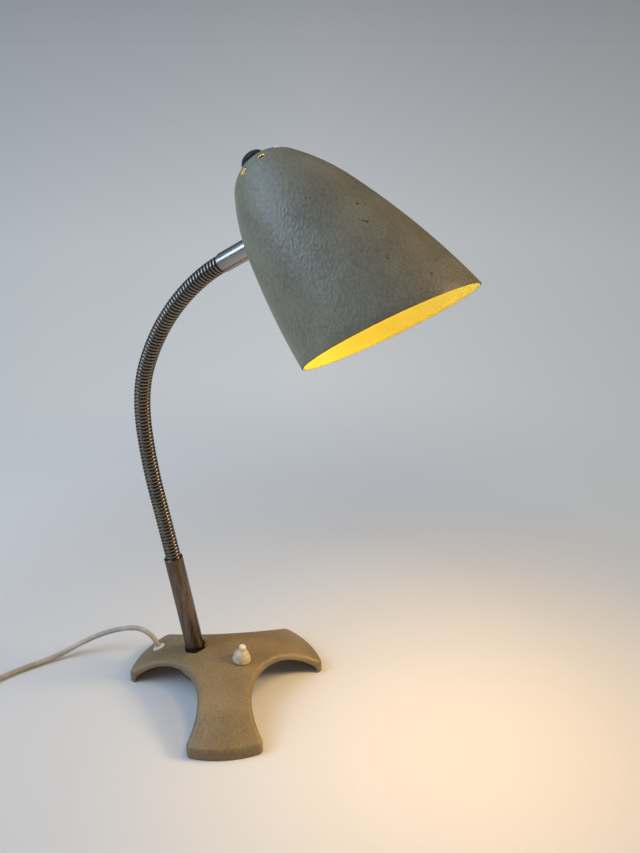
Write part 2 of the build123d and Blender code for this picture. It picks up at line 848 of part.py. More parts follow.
def wire(plane, points):
    """Sweep a thin wire with folded corners, its points given in a plane's coordinates."""
    route = [plane.from_local_coords(Vector(point)) for point in points]
    with BuildLine() as path:
        Polyline(*route)
    with BuildSketch(Plane(path.line @ 0, z_dir=path.line % 0)) as outline:
        Circle(wire_radius)
    sweep(sections=outline.sketch, path=path.line, transition=Transition.RIGHT)


# from the spigot's end, round the holder, through its side hole
spigot_tip = shade_plane.to_local_coords(ferrule_plane.offset(spigot_end - 1.0).origin)

with BuildPart() as head_wires:
    for side in (-1.2 * wire_radius, 1.2 * wire_radius):
        wire(
            shade_plane,
            [
                (spigot_tip.X, side, spigot_tip.Z),
                (holder_radius + 4.0, side, spigot_tip.Z),
                (holder_radius + 2.2, side, wire_hole_station + 2.0),
                (holder_radius - 6.0, side, wire_hole_station),
            ],
        )
finish(head_wires, "head_wires")

# ================================================================== push switch
body_top = -switch_seat
body_bottom = body_top - switch_body_height
cavity_top = body_top - switch_top_wall
cavity_bottom = cavity_top - switch_cavity_height

with BuildPart() as switch_body:
    with BuildSketch(section_of(switch_plane)):
        with BuildLine():
            Polyline(
                (switch_neck_radius, switch_thread_length),
                (switch_neck_radius, body_top),
                (switch_body_radius, body_top),
                (switch_body_radius, body_bottom),
                (0, body_bottom),
                (0, cavity_bottom),
                (switch_cavity_radius, cavity_bottom),
                (switch_cavity_radius, cavity_top),
                (button_radius + button_slip, cavity_top),
                (button_radius + button_slip, switch_thread_length),
                close=True,
            )
        make_face()
    revolve(axis=axis_of(switch_plane))
finish(switch_body, "switch_body")

with BuildPart() as switch_nut:
    with BuildSketch(section_of(switch_plane)):
        with BuildLine():
            Polyline(
                (switch_neck_radius + slip, 0.2),
                (switch_nut_radius - 0.5, 0.2),
                (switch_nut_radius, 0.7),
                (switch_nut_radius, 2.0),
            )
            ThreePointArc(
                (switch_nut_radius, 2.0),
                (0.5 * (switch_nut_radius + switch_nut_tip) + 0.75, 0.56 * switch_nut_height),
                (switch_nut_tip, switch_nut_height - 0.4),
            )
            Polyline(
                (switch_nut_tip, switch_nut_height - 0.4),
                (switch_nut_tip - 0.4, switch_nut_height),
                (button_radius + button_slip, switch_nut_height),
                (button_radius + button_slip, switch_thread_length + slip),
                (switch_neck_radius + slip, switch_thread_length + slip),
                (switch_neck_radius + slip, 0.2),
            )
        make_face()
    revolve(axis=axis_of(switch_plane))
finish(switch_nut, "switch_nut")

button_top = switch_nut_height + button_stands
flange_top = cavity_top - 0.3
spring_top = flange_top - button_flange_height

with BuildPart() as switch_button:
    with BuildSketch(switch_plane.offset(button_top)):
        Circle(button_radius)
    extrude(amount=spring_top - button_top)
    chamfer(switch_button.edges().sort_by(axis_of(switch_plane))[-1], 0.6)
    with BuildSketch(switch_plane.offset(spring_top)):
        Circle(button_flange)
    extrude(amount=button_flange_height)
finish(switch_button, "switch_button")

with BuildPart() as switch_spring:
    with BuildSketch(section_of(switch_plane)):
        coil_pitch = (spring_top - cavity_bottom) / spring_coils
        with BuildLine():
            zigzag = []
            for step in range(2 * spring_coils + 1):
                wave = spring_radius if step % 2 else spring_radius - spring_wire
                zigzag.append((wave, cavity_bottom + step * coil_pitch / 2))
            Polyline(
                (spring_radius - 2 * spring_wire, cavity_bottom),
                *zigzag,
                (spring_radius - 2 * spring_wire, spring_top),
                close=True,
            )
        make_face()
    revolve(axis=axis_of(switch_plane))
finish(switch_spring, "switch_spring")

with BuildPart() as switch_terminals:
    with BuildSketch(switch_plane.offset(body_bottom)):
        with GridLocations(0, 2 * lug_offset, 1, 2):
            Rectangle(lug_width, lug_thickness)
    extrude(amount=-lug_height)
finish(switch_terminals, "switch_terminals")

# ================================================================== grommet, clamp and terminal block
with BuildPart() as cord_grommet:
    with BuildSketch(section_of(grommet_plane)):
        with BuildLine():
            bore = cord_radius + slip
            Polyline(
                (bore, grommet_top),
                (bore, -grommet_under - grommet_top),
                (grommet_flange - 0.6, -grommet_under - grommet_top),
                (grommet_flange - 0.6, -grommet_under),
                (grommet_stem, -grommet_under),
                (grommet_stem, -0.3),
                (grommet_flange, -0.3),
                (grommet_flange, 0.4),
                (grommet_flange - 1.3, grommet_top),
                (bore, grommet_top),
            )
        make_face()
    revolve(axis=axis_of(grommet_plane))
finish(cord_grommet, "cord_grommet")

# Where the cord stands clear of the grommet, its two lengths meet face to face.
cord_exit = grommet_plane.offset(exit_height)
lead_bend = grommet_plane.offset(-grommet_under - grommet_top - lead_drop).origin
lead_end = base_x + well_middle - block_length / 2 - wire_room
lead_points = [
    (cord_exit.origin.X, 0, cord_exit.origin.Z),
    (lead_bend.X, 0, lead_bend.Z),
    (clamp_x, 0, clamp_seat + clamp_rise + cord_radius + lead_lift),
    (base_x + well_middle - well_length / 2, 0, lead_height),
    (lead_end, 0, lead_height - 0.4),
]

with BuildPart() as cord_lead:
    cord(lead_points, lead_bend_share)
finish(cord_lead, "cord_lead")

with BuildPart() as cord_clamp:
    with BuildSketch(Plane((clamp_x, 0, clamp_seat))):
        RectangleRounded(clamp_width, clamp_length, clamp_width / 2 - 0.1)
        with GridLocations(0, 2 * clamp_screw_offset, 1, 2):
            Circle(clamp_screw_radius + slip, mode=Mode.SUBTRACT)
    extrude(amount=-clamp_thickness)
    # pressed rib that bears on the cord
    with BuildSketch(Plane((clamp_x, 0, clamp_seat))):
        Rectangle(clamp_rib, 2 * cord_radius)
    extrude(amount=clamp_rise - slip)
finish(cord_clamp, "cord_clamp")

with BuildPart() as clamp_screws:
    clamp_head = Plane((clamp_x, 0, clamp_seat - clamp_thickness - screw_head_height))
    with BuildSketch(clamp_head):
        with GridLocations(0, 2 * clamp_screw_offset, 1, 2):
            Circle(2 * clamp_screw_radius)
    extrude(amount=screw_head_height)
    with BuildSketch(clamp_head):
        with GridLocations(0, 2 * clamp_screw_offset, 1, 2):
            Circle(clamp_screw_radius)
    extrude(amount=screw_head_height + clamp_thickness + clamp_screw_length)
    with BuildSketch(clamp_head):
        with GridLocations(0, 2 * clamp_screw_offset, 1, 2):
            Rectangle(4 * clamp_screw_radius, screw_slot)
    extrude(amount=screw_slot, mode=Mode.SUBTRACT)
finish(clamp_screws, "clamp_screws")

block_x = base_x + well_middle
block_top = arch_z(abs(well_middle) + block_length / 2) - 0.7
block_bottom = block_top - block_height

with BuildPart() as terminal_block:
    with BuildSketch(Plane((block_x, 0, block_bottom))):
        Rectangle(block_length, block_width)
        with GridLocations(block_length / 2, block_width / 2, 2, 2):
            Circle(block_screw_radius + slip, mode=Mode.SUBTRACT)
    extrude(amount=block_screw_depth)
    with BuildSketch(Plane((block_x, 0, block_bottom + block_screw_depth))):
        Rectangle(block_length, block_width)
    extrude(amount=block_height - block_screw_depth)
finish(terminal_block, "terminal_block")

with BuildPart() as terminal_screws:
    with BuildSketch(Plane((block_x, 0, block_bottom))):
        with GridLocations(block_length / 2, block_width / 2, 2, 2):
            Circle(block_screw_radius)
    extrude(amount=block_screw_depth)
    with BuildSketch(Plane((block_x, 0, block_bottom))):
        with GridLocations(block_length / 2, block_width / 2, 2, 2):
            Rectangle(4 * block_screw_radius, screw_slot)
    extrude(amount=screw_slot, mode=Mode.SUBTRACT)
finish(terminal_screws, "terminal_screws")

block_back = block_x - block_length / 2
block_front = block_x + block_length / 2
pole = block_width / 4
supply_z = block_bottom + supply_height
neck_wire_z = block_bottom + neck_wire_height
nipple_mouth = neck_seat.offset(-nipple_end).origin
nipple_inside = neck_seat.offset(-nipple_end + 4.0).origin
lug = switch_plane.offset(body_bottom - lug_height).origin
lug_side = lug_offset + lug_thickness / 2 + wire_radius + slip

with BuildPart() as supply_wires:
    for side in (-1, 1):
        wire(
            Plane.XY,
            [
                (lead_end + wire_gap, side * wire_radius * 1.2, lead_height - 0.4),
                (block_back - wire_gap, side * pole, supply_z),
            ],
        )
finish(supply_wires, "supply_wires")

with BuildPart() as neck_wires:
    for side in (-1, 1):
        wire(
            Plane.XY,
            [
                (nipple_inside.X, side * wire_radius * 1.3, nipple_inside.Z),
                (nipple_mouth.X + 0.3, side * wire_radius * 1.5, nipple_mouth.Z - 1.4),
                (block_back - wire_gap, side * pole, neck_wire_z),
            ],
        )
finish(neck_wires, "neck_wires")

with BuildPart() as switch_wires:
    for side in (-1, 1):
        wire(
            Plane.XY,
            [
                (block_front + wire_gap, side * pole, supply_z),
                (lug.X - 4.0, side * lug_side, lug.Z + 0.6),
                (lug.X + 1.5, side * lug_side, lug.Z + 0.4),
            ],
        )
finish(switch_wires, "switch_wires")

# ================================================================== cord
# Points along the middle of the cord, chosen by hand, with x from the centre of the foot.
cord_route = [
    (-71.02, 0.0, 21.33),
    (-74.2, 0.0, 27.6),
    (-79.6, 0.0, 31.5),
    (-87.4, 0.0, 33.6),
    (-97.3, -0.2, 32.2),
    (-112.0, -1.2, 26.6),
    (-130.0, -5.5, 18.4),
    (-147.0, -17.0, 9.6),
    (-158.5, -33.5, 3.6),
    (-170.0, -52.0, 2.35),
    (-182.5, -75.5, 2.35),
    (-191.0, -98.0, 2.35),
    (-193.6, -112.8, 2.35),
]
tail_route = [
    (-236.6, -161.1, 6.95),
    (-247.6, -161.4, 6.5),
    (-259.2, -162.5, 5.5),
    (-271.7, -164.6, 4.65),
]
cord_points = [(base_x + x, y, z) for x, y, z in cord_route]
tail_points = [(base_x + x, y, z) for x, y, z in tail_route]

with BuildPart() as cord_tube:
    tube_length = cord(cord_points)
finish(cord_tube, "cord_tube")

with BuildPart() as cord_tail:
    tail_length = cord(tail_points)
finish(cord_tail, "cord_tail")

with BuildPart() as cord_coil:
    with BuildSketch(section_of(Plane((base_x + coil_x, coil_y, 0)))):
        with Locations(((coil_inner + coil_outer) / 2, coil_height / 2 + 0.05)):
            Rectangle(coil_outer - coil_inner, coil_height)
    revolve(axis=Axis((base_x + coil_x, coil_y, 0), (0, 0, 1)))
finish(cord_coil, "cord_coil")

plug_back = Vector(tail_points[-1])
plug_tip = degrees(asin((plug_front_radius - plug_back_radius) / (plug_length - plug_rim)))
plug_heading = Location(plug_back, (0, 0, plug_turn))
plug_plane = Plane(plug_heading * Location((0, 0, 0), (0, 90 - plug_tip, 0)))

with BuildPart() as plug_body:
    with BuildSketch(section_of(plug_plane)):
        with BuildLine():
            Polyline(
                (0, 0),
                (plug_back_radius, 0),
                (plug_front_radius, plug_length - plug_rim),
                (plug_front_radius, plug_length - 1.0),
                (plug_front_radius - 1.0, plug_length),
                (0, plug_length),
                close=True,
            )
        make_face()
    revolve(axis=axis_of(plug_plane))
finish(plug_body, "plug_body")

with BuildPart() as plug_pins:
    with BuildSketch(plug_plane.offset(plug_length)):
        with GridLocations(0, pin_spacing, 1, 2):
            Circle(pin_radius)
    extrude(amount=pin_length)
    chamfer(plug_pins.edges().group_by(axis_of(plug_plane))[-1], 0.6)
finish(plug_pins, "plug_pins")

print("bends of the cord:", [round(radius, 1) for radius in corner_radii(cord_points)])
print("bends of the tail:", [round(radius, 1) for radius in corner_radii(tail_points)])
print("cord from grommet to coil", round(tube_length, 1), "mm, tail", round(tail_length, 1), "mm")
for name, solid, length in (
    ("cord", cord_tube, tube_length),
    ("tail", cord_tail, tail_length),
):
    drawn = 3.14159265 * cord_radius**2 * length
    print(name, "volume over section times length:", round(solid.part.volume / drawn, 4))
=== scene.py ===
# %% [markdown]
# # A gooseneck desk lamp
# The lamp has a cast foot on three legs, a steel tube, a wound steel neck and a drawn steel
# shade. Its solid parts come ready made, in metres, with +Z up and z = 0 on the table. This
# notebook gives them their finishes, replaces the few whose surface is finer than the solid
# (the cord and its plug, the switch's spring, the shade, the neck's winding), and sets up a
# small studio.

# %% Load the lamp's parts
import json
from math import asin, cos, degrees, pi, radians, sin

import bmesh
import bpy
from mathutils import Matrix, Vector


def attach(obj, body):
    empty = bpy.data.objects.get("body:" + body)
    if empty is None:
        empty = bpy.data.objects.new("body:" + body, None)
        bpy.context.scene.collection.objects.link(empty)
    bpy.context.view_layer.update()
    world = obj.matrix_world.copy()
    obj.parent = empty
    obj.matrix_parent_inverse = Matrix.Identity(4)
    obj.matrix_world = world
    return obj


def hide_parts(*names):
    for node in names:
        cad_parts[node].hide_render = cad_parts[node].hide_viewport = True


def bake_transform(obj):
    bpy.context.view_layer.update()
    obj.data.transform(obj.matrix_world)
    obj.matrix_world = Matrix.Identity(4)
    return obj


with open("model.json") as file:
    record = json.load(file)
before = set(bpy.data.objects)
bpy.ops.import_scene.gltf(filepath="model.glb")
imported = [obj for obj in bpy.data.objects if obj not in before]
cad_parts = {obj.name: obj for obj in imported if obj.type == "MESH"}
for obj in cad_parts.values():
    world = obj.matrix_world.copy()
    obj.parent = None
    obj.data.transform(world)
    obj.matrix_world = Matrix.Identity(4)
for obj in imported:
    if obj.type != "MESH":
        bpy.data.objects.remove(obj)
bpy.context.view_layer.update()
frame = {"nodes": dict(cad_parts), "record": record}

scene = bpy.context.scene
scene.view_settings.view_transform = "Standard"

# %% [markdown]
# ## Measures
# Everything below is thought of in millimetres, as a drawing of the lamp would be, and turned
# to metres where Blender needs it. Colours are written as the hex values of a paint chart.
# Blender mixes light linearly, so one function turns them.

# %% Millimetres and colours
MM = 0.001


def colour(hex_value):
    """Linear colour for Blender from an sRGB hex value."""
    channels = [int(hex_value[i:i + 2], 16) / 255 for i in (1, 3, 5)]
    linear = [c / 12.92 if c <= 0.04045 else ((c + 0.055) / 1.055) ** 2.4 for c in channels]
    return (*linear, 1.0)


print("taupe paint, linear:", [round(c, 3) for c in colour("#7d735f")])

# %% [markdown]
# ## The camera
# It stands to the right of the lamp's front, a little above the shade, and looks down by 24
# degrees. A lens of about 37 mm keeps the foot and the shade in one upright frame without
# much stretch. Aiming is easiest with a direction vector: the camera looks along its own -Z.

# %% Place the camera
camera_place = Vector((282.28, -519.72, 523.90))
level_ahead = Vector((-0.4301, 0.9028, 0.0))
look_down = radians(23.97)
camera_data = bpy.data.cameras.new("camera")
camera_data.lens = 37.14
camera_data.sensor_width = 36.0
camera = bpy.data.objects.new("camera", camera_data)
scene.collection.objects.link(camera)
camera.location = camera_place * MM
look = level_ahead * cos(look_down) - Vector((0.0, 0.0, sin(look_down)))
camera.rotation_mode = "QUATERNION"
camera.rotation_quaternion = look.to_track_quat("-Z", "Y")
scene.camera = camera
print("camera at", tuple(round(c, 3) for c in camera.location))

# %% [markdown]
# ## Materials: one helper
# A Blender material is a tree of nodes. One small function adds a node, sets its properties,
# wires or sets its inputs and fills its colour ramp, so each finish below reads from its
# pattern to its shader. A colour ramp is the plain way to turn a pattern into two or three
# colours, or into a range of roughness.

# %% Helpers for materials
def add_node(tree, kind, inputs=None, stops=(), **settings):
    """Add a node: settings are its properties, inputs are values or sockets to link.

    stops fill a colour ramp, each as (position, hex value or grey level).
    """
    node = tree.nodes.new(kind)
    for name, value in settings.items():
        setattr(node, name, value)
    for name, value in (inputs or {}).items():
        if isinstance(value, bpy.types.NodeSocket):
            tree.links.new(value, node.inputs[name])
        else:
            node.inputs[name].default_value = value
    if stops:
        elements = node.color_ramp.elements
        while len(elements) < len(stops):
            elements.new(0.5)
        for element, (position, value) in zip(elements, stops):
            grey = (value, value, value, 1.0)
            element.position = position
            element.color = colour(value) if isinstance(value, str) else grey
    return node


def new_material(name):
    """An empty node material: its tree and a Principled shader wired to the output."""
    material = bpy.data.materials.new(name)
    material.use_nodes = True
    tree = material.node_tree
    tree.nodes.clear()
    shader = add_node(tree, "ShaderNodeBsdfPrincipled")
    add_node(tree, "ShaderNodeOutputMaterial", {"Surface": shader.outputs["BSDF"]})
    return material, tree, shader


def per_mm(size):
    """Texture scale that repeats a pattern every so many millimetres (coordinates are metres)."""
    return 1.0 / (size * MM)


print("a pattern of 2 mm has scale", per_mm(2))

# %% [markdown]
# ## Hammered enamel
# Foot and shade wear a stoved hammer finish: a silicone in the paint makes it draw up into
# shallow, leathery cells a millimetre or two across while it bakes. The eye reads it as a
# soft gloss broken into flecks. Cells come from a Voronoi pattern pulled about by noise, a
# broader noise makes the coat thicker here and thinner there, and old knocks show as small
# dark chips. Enamel is a dielectric, with the default IOR and a roughness near 0.4.

# %% Hammered enamel, as a recipe for foot and shade
bare_primer = "#37322a"
# the noise pulls each cell about by up to this many metres
cell_pull = 0.0022


def hammered_enamel(name, body, light, dark, cell, stretch, relief, chips):
    """Stoved hammer enamel. cell is the cell width in mm, stretch draws the cells out."""
    material, tree, shader = new_material(name)
    place = add_node(tree, "ShaderNodeTexCoord").outputs["Object"]
    drawn = add_node(
        tree, "ShaderNodeMapping", {"Vector": place, "Scale": stretch}
    ).outputs["Vector"]
    swirl = add_node(
        tree, "ShaderNodeTexNoise", {"Vector": drawn, "Scale": per_mm(cell * 3), "Detail": 3.0}
    ).outputs["Color"]
    bent = add_node(
        tree, "ShaderNodeMix", {"Factor": cell_pull, "A": drawn, "B": swirl}, data_type="VECTOR"
    ).outputs["Result"]
    cells = add_node(
        tree, "ShaderNodeTexVoronoi",
        {"Vector": bent, "Scale": per_mm(cell), "Smoothness": 0.55, "Randomness": 1.0},
        feature="SMOOTH_F1",
    ).outputs["Distance"]
    grain = add_node(
        tree, "ShaderNodeTexNoise",
        {"Vector": drawn, "Scale": per_mm(cell * 0.9), "Detail": 4.0, "Roughness": 0.6},
    ).outputs["Fac"]
    patches = add_node(
        tree, "ShaderNodeTexNoise",
        {"Vector": place, "Scale": per_mm(28), "Detail": 4.0, "Roughness": 0.55},
    ).outputs["Fac"]
    # colour: lighter on the cells' crests and darker in their pits
    tone = add_node(
        tree, "ShaderNodeValToRGB", {"Fac": cells}, [(0.05, light), (0.45, body), (0.8, dark)]
    ).outputs["Color"]
    broad = add_node(
        tree, "ShaderNodeValToRGB", {"Fac": patches}, [(0.35, dark), (0.55, body), (0.75, light)]
    ).outputs["Color"]
    paint = add_node(
        tree, "ShaderNodeMix", {"Factor": 0.5, "A": tone, "B": broad}, data_type="RGBA"
    ).outputs["Result"]
    # chips and scuffs: small dark spots, and fewer long scratches
    knocks = add_node(
        tree, "ShaderNodeTexNoise",
        {"Vector": place, "Scale": per_mm(7), "Detail": 6.0, "Roughness": 0.72},
    ).outputs["Fac"]
    scored = add_node(
        tree, "ShaderNodeMapping", {"Vector": place, "Scale": (1.0, 0.25, 0.6)}
    ).outputs["Vector"]
    scratches = add_node(
        tree, "ShaderNodeTexNoise",
        {"Vector": scored, "Scale": per_mm(4.5), "Detail": 7.0, "Roughness": 0.75},
    ).outputs["Fac"]
    worst = add_node(
        tree, "ShaderNodeMath", {0: knocks, 1: scratches}, operation="MAXIMUM"
    ).outputs[0]
    chipped = add_node(
        tree, "ShaderNodeValToRGB", {"Fac": worst}, [(chips, 0.0), (chips + 0.03, 1.0)]
    ).outputs["Color"]
    finished = add_node(
        tree, "ShaderNodeMix", {"Factor": chipped, "A": paint, "B": colour(bare_primer)},
        data_type="RGBA",
    ).outputs["Result"]
    tree.links.new(finished, shader.inputs["Base Color"])
    gloss = add_node(tree, "ShaderNodeValToRGB", {"Fac": patches}, [(0.3, 0.36), (0.7, 0.50)])
    tree.links.new(gloss.outputs["Color"], shader.inputs["Roughness"])
    height = add_node(
        tree, "ShaderNodeMix", {"Factor": 0.35, "A": cells, "B": grain}, data_type="FLOAT"
    ).outputs["Result"]
    bump = add_node(
        tree, "ShaderNodeBump", {"Strength": relief, "Distance": 0.5 * MM, "Height": height}
    )
    tree.links.new(bump.outputs["Normal"], shader.inputs["Normal"])
    return material


foot_enamel = hammered_enamel(
    "hammered_enamel_foot", "#806c49", "#907c57", "#6b593b",
    cell=1.6, stretch=(1, 1, 1), relief=0.7, chips=0.70,
)
shade_enamel = hammered_enamel(
    "hammered_enamel_shade", "#807a66", "#948d77", "#6e6856",
    cell=1.7, stretch=(1, 1, 0.6), relief=0.8, chips=0.65,
)
print(foot_enamel.name, shade_enamel.name)

# %% [markdown]
# ## Enamel inside the shade
# The inside of the shade is sprayed with pale enamel, to throw the light. Its colour is
# painted a pale yellow: painted light, for the warm light of the bulb on it, which the bulb's
# glow turns into a strong yellow. It is smooth, with a faint orange peel from the spray gun.

# %% Pale enamel for the inside of the shade
white_enamel, tree, shader = new_material("white_enamel_inside")
place = add_node(tree, "ShaderNodeTexCoord").outputs["Object"]
peel = add_node(
    tree, "ShaderNodeTexNoise", {"Vector": place, "Scale": per_mm(2.0), "Detail": 2.0}
).outputs["Fac"]
dust = add_node(
    tree, "ShaderNodeTexNoise", {"Vector": place, "Scale": per_mm(20), "Detail": 5.0}
).outputs["Fac"]
# painted light: the pale yellow stands for the bulb's warm light on pale enamel
painted_bulb_yellow = add_node(
    tree, "ShaderNodeValToRGB", {"Fac": dust}, [(0.35, "#f2e27c"), (0.7, "#eeda70")]
)
tree.links.new(painted_bulb_yellow.outputs["Color"], shader.inputs["Base Color"])
shader.inputs["Roughness"].default_value = 0.7
bump = add_node(
    tree, "ShaderNodeBump", {"Strength": 0.2, "Distance": 0.05 * MM, "Height": peel}
)
tree.links.new(bump.outputs["Normal"], shader.inputs["Normal"])
print(white_enamel.name)

# %% [markdown]
# ## Steel, in five finishes
# The tube, the nut at its foot, the ferrule, the fixings and the shade's worn lip are all
# steel, so one recipe serves: metallic 1, a colour, and fine marks that run along or round
# the piece as its tool did. The lip's dark colour is also painted shade. Real polishing marks
# are a few hundredths of a millimetre apart.
# They are drawn at 0.35 mm, which is as coarse as they need to be to show. What differs from
# piece to piece is the finish and what years have done to it.

# %% Steel recipe and its finishes
def steel(name, clean, worn, marks, roughness, mark_size=0.35, stain_size=14):
    """Bare or plated steel. marks scales the pattern along x, y and z, to draw it out."""
    material, tree, shader = new_material(name)
    shader.inputs["Metallic"].default_value = 1.0
    place = add_node(tree, "ShaderNodeTexCoord").outputs["Object"]
    drawn = add_node(
        tree, "ShaderNodeMapping", {"Vector": place, "Scale": marks}
    ).outputs["Vector"]
    lines = add_node(
        tree, "ShaderNodeTexNoise", {"Vector": drawn, "Scale": per_mm(mark_size), "Detail": 3.0}
    ).outputs["Fac"]
    stains = add_node(
        tree, "ShaderNodeTexNoise",
        {"Vector": drawn, "Scale": per_mm(stain_size), "Detail": 6.0, "Roughness": 0.65},
    ).outputs["Fac"]
    surface = add_node(
        tree, "ShaderNodeValToRGB", {"Fac": stains}, [(0.38, clean), (0.66, worn)]
    )
    tree.links.new(surface.outputs["Color"], shader.inputs["Base Color"])
    blend = add_node(
        tree, "ShaderNodeMix", {"Factor": 0.5, "A": lines, "B": stains}, data_type="FLOAT"
    ).outputs["Result"]
    low, high = roughness
    gloss = add_node(tree, "ShaderNodeValToRGB", {"Fac": blend}, [(0.35, low), (0.65, high)])
    tree.links.new(gloss.outputs["Color"], shader.inputs["Roughness"])
    bump = add_node(
        tree, "ShaderNodeBump", {"Strength": 0.15, "Distance": 0.03 * MM, "Height": lines}
    )
    tree.links.new(bump.outputs["Normal"], shader.inputs["Normal"])
    return material


# how far a finish's marks are drawn out: a small number makes them long that way
even, along_tube, round_ferrule = (1, 1, 1), (1.0, 1.0, 0.08), (0.15, 1.0, 0.15)
# browned, then rubbed by hands: dark, with paler streaks along the tube
browned_steel = steel(
    "browned_steel_tube", "#7a6a5e", "#4e4137", along_tube, (0.26, 0.42), stain_size=4
)
# browned and never touched: nearly black, with soft glints on its corners
browned_nut = steel("browned_steel_nut", "#4d4136", "#2e2722", even, (0.2, 0.36))
# nickel plate, buffed round: bright and slightly warm, with a sharp highlight
nickel_plate = steel(
    "nickel_plate_ferrule", "#b4aea6", "#8d867d", round_ferrule, (0.16, 0.32)
)
# zinc plate straight from the bath: an even, dull grey
zinc_plate = steel("zinc_plate_fixings", "#b9bab8", "#94938e", even, (0.25, 0.45))
# worn through its paint and rusted: a thin, dull brown line round the mouth, which is also
# painted shade on the outer half of the lip, where it turns away from the light
lip_rust_and_shade = steel("rusted_lip_painted_shade", "#4a3626", "#2f2219", even, (0.45, 0.65))
print(browned_steel.name, nickel_plate.name, zinc_plate.name)

# %% [markdown]
# ## The neck's own steel
# The winding is dark, oiled steel. Fingers have polished its crests, which are also painted
# lighter as a painted highlight, and its grooves are darker. A pattern in space can't know
# which is which, so the mesh will carry a value, "crest", from 0 in the groove to 1 on top,
# and the material reads it.

# %% Steel for the winding
winding_steel, tree, shader = new_material("oiled_steel_winding")
shader.inputs["Metallic"].default_value = 1.0
crest = add_node(tree, "ShaderNodeAttribute", attribute_name="crest").outputs["Fac"]
place = add_node(tree, "ShaderNodeTexCoord").outputs["Object"]
stains = add_node(
    tree, "ShaderNodeTexNoise",
    {"Vector": place, "Scale": per_mm(11), "Detail": 5.0, "Roughness": 0.6},
).outputs["Fac"]
wear = add_node(
    tree, "ShaderNodeMath", {0: stains, 1: 0.5, 2: 0.75}, operation="MULTIPLY_ADD"
).outputs[0]
crest_polish_and_highlight = add_node(tree, "ShaderNodeMath", {0: crest, 1: wear}, operation="MULTIPLY").outputs[0]
# colour from groove to crest: darker in the grooves, lighter on the crests, partly polish and
# partly a painted highlight
oiled_with_painted_highlight = add_node(
    tree, "ShaderNodeValToRGB", {"Fac": crest_polish_and_highlight},
    [(0.1, "#14110f"), (0.55, "#3d3630"), (0.95, "#80766b")],
)
polish = add_node(tree, "ShaderNodeValToRGB", {"Fac": crest_polish_and_highlight}, [(0.2, 0.55), (0.9, 0.24)])
tree.links.new(oiled_with_painted_highlight.outputs["Color"], shader.inputs["Base Color"])
tree.links.new(polish.outputs["Color"], shader.inputs["Roughness"])
print(winding_steel.name)

# %% [markdown]
# ## Plastics, rubber, porcelain and small metals
# The rest are simple bodies with one speciality each, and one recipe takes the colours, the
# roughness and the size of the mottling in mm. The grain that a mould leaves is finer than
# 0.7 mm, but is drawn that coarse so that it shows. Brass and aluminium are metals, so they
# are wholly metallic, and all the others are not.

# %% A recipe for moulded and glazed pieces
def moulded(name, clean, aged, roughness, mottle, relief=0.1, metallic=0.0):
    """A smooth piece with mottling of the given size in mm."""
    material, tree, shader = new_material(name)
    shader.inputs["Metallic"].default_value = metallic
    place = add_node(tree, "ShaderNodeTexCoord").outputs["Object"]
    clouds = add_node(
        tree, "ShaderNodeTexNoise",
        {"Vector": place, "Scale": per_mm(mottle), "Detail": 5.0, "Roughness": 0.6},
    ).outputs["Fac"]
    fine = add_node(
        tree, "ShaderNodeTexNoise", {"Vector": place, "Scale": per_mm(0.7), "Detail": 2.0}
    ).outputs["Fac"]
    body = add_node(
        tree, "ShaderNodeValToRGB", {"Fac": clouds}, [(0.36, clean), (0.68, aged)]
    )
    tree.links.new(body.outputs["Color"], shader.inputs["Base Color"])
    low, high = roughness
    gloss = add_node(tree, "ShaderNodeValToRGB", {"Fac": clouds}, [(0.3, low), (0.7, high)])
    tree.links.new(gloss.outputs["Color"], shader.inputs["Roughness"])
    bump = add_node(
        tree, "ShaderNodeBump", {"Strength": relief, "Distance": 0.04 * MM, "Height": fine}
    )
    tree.links.new(bump.outputs["Normal"], shader.inputs["Normal"])
    return material


print("recipe for small pieces ready")

# %% [markdown]
# ### Each small finish
# Every line below is one real material, with what it gives the eye.

# %% Finishes of the small pieces
# stoved black enamel: nearly black, with a clear highlight
black_enamel = moulded("black_enamel_cap", "#17161a", "#26242a", (0.2, 0.32), 8)
# pressed urea, aged: cream gone brown in small clouds, half matt
aged_urea = moulded("aged_urea_switch", "#cdbfa3", "#a8977a", (0.32, 0.5), 3.5, 0.3)
# pressed urea that fingers keep clean: paler and smoother
urea_button = moulded("urea_button", "#ded3bd", "#c4b598", (0.3, 0.42), 3.0)
# moulded rubber: dull and a little chalky
cream_rubber = moulded("cream_rubber_grommet", "#d8cfbe", "#b5a994", (0.55, 0.75), 4)
# extruded vinyl: a soft shine with dust on it
cord_sheath = moulded("vinyl_cord_sheath", "#beb3a0", "#9f9483", (0.42, 0.58), 12, 0.2)
# moulded vinyl: greyer than the sheath, with a fine grain from its mould
plug_vinyl = moulded("vinyl_plug", "#a99e92", "#8c8177", (0.45, 0.6), 9, 0.3)
# pressed phenolic: dark brown, with a gloss
phenolic = moulded("phenolic_holder", "#2a1a12", "#1b110d", (0.2, 0.35), 6)
# glazed porcelain: white and the smoothest of all
porcelain = moulded("glazed_porcelain", "#ebe6da", "#d9d2c2", (0.1, 0.2), 7)
# vulcanised fibre sheet: red-brown and dull, like card
fibre_sheet = moulded("vulcanised_fibre", "#43281c", "#2f1c14", (0.6, 0.8), 2.5, 0.5)
# rubber on wires: grey-brown and dull
wire_cover = moulded("wire_insulation", "#59504a", "#3d3733", (0.45, 0.6), 6)
# turned brass: yellow metal, browner where it has tarnished
brass = moulded("brass", "#c9a35c", "#a17c3c", (0.22, 0.4), 5, metallic=1.0)
# spun aluminium: pale metal with a satin face
spun_aluminium = moulded("spun_aluminium", "#c9c9c6", "#a9a8a4", (0.3, 0.45), 5, metallic=1.0)
print("moulded finishes ready")

# %% [markdown]
# ## The lit bulb
# An opal-white bulb glows evenly, so one strength serves all over it. Beside daylight the
# light of an incandescent bulb is a strong yellow. The glass gives off light by itself, so
# the inside of the shade glows. Small lamps at the end of this notebook carry its light out.

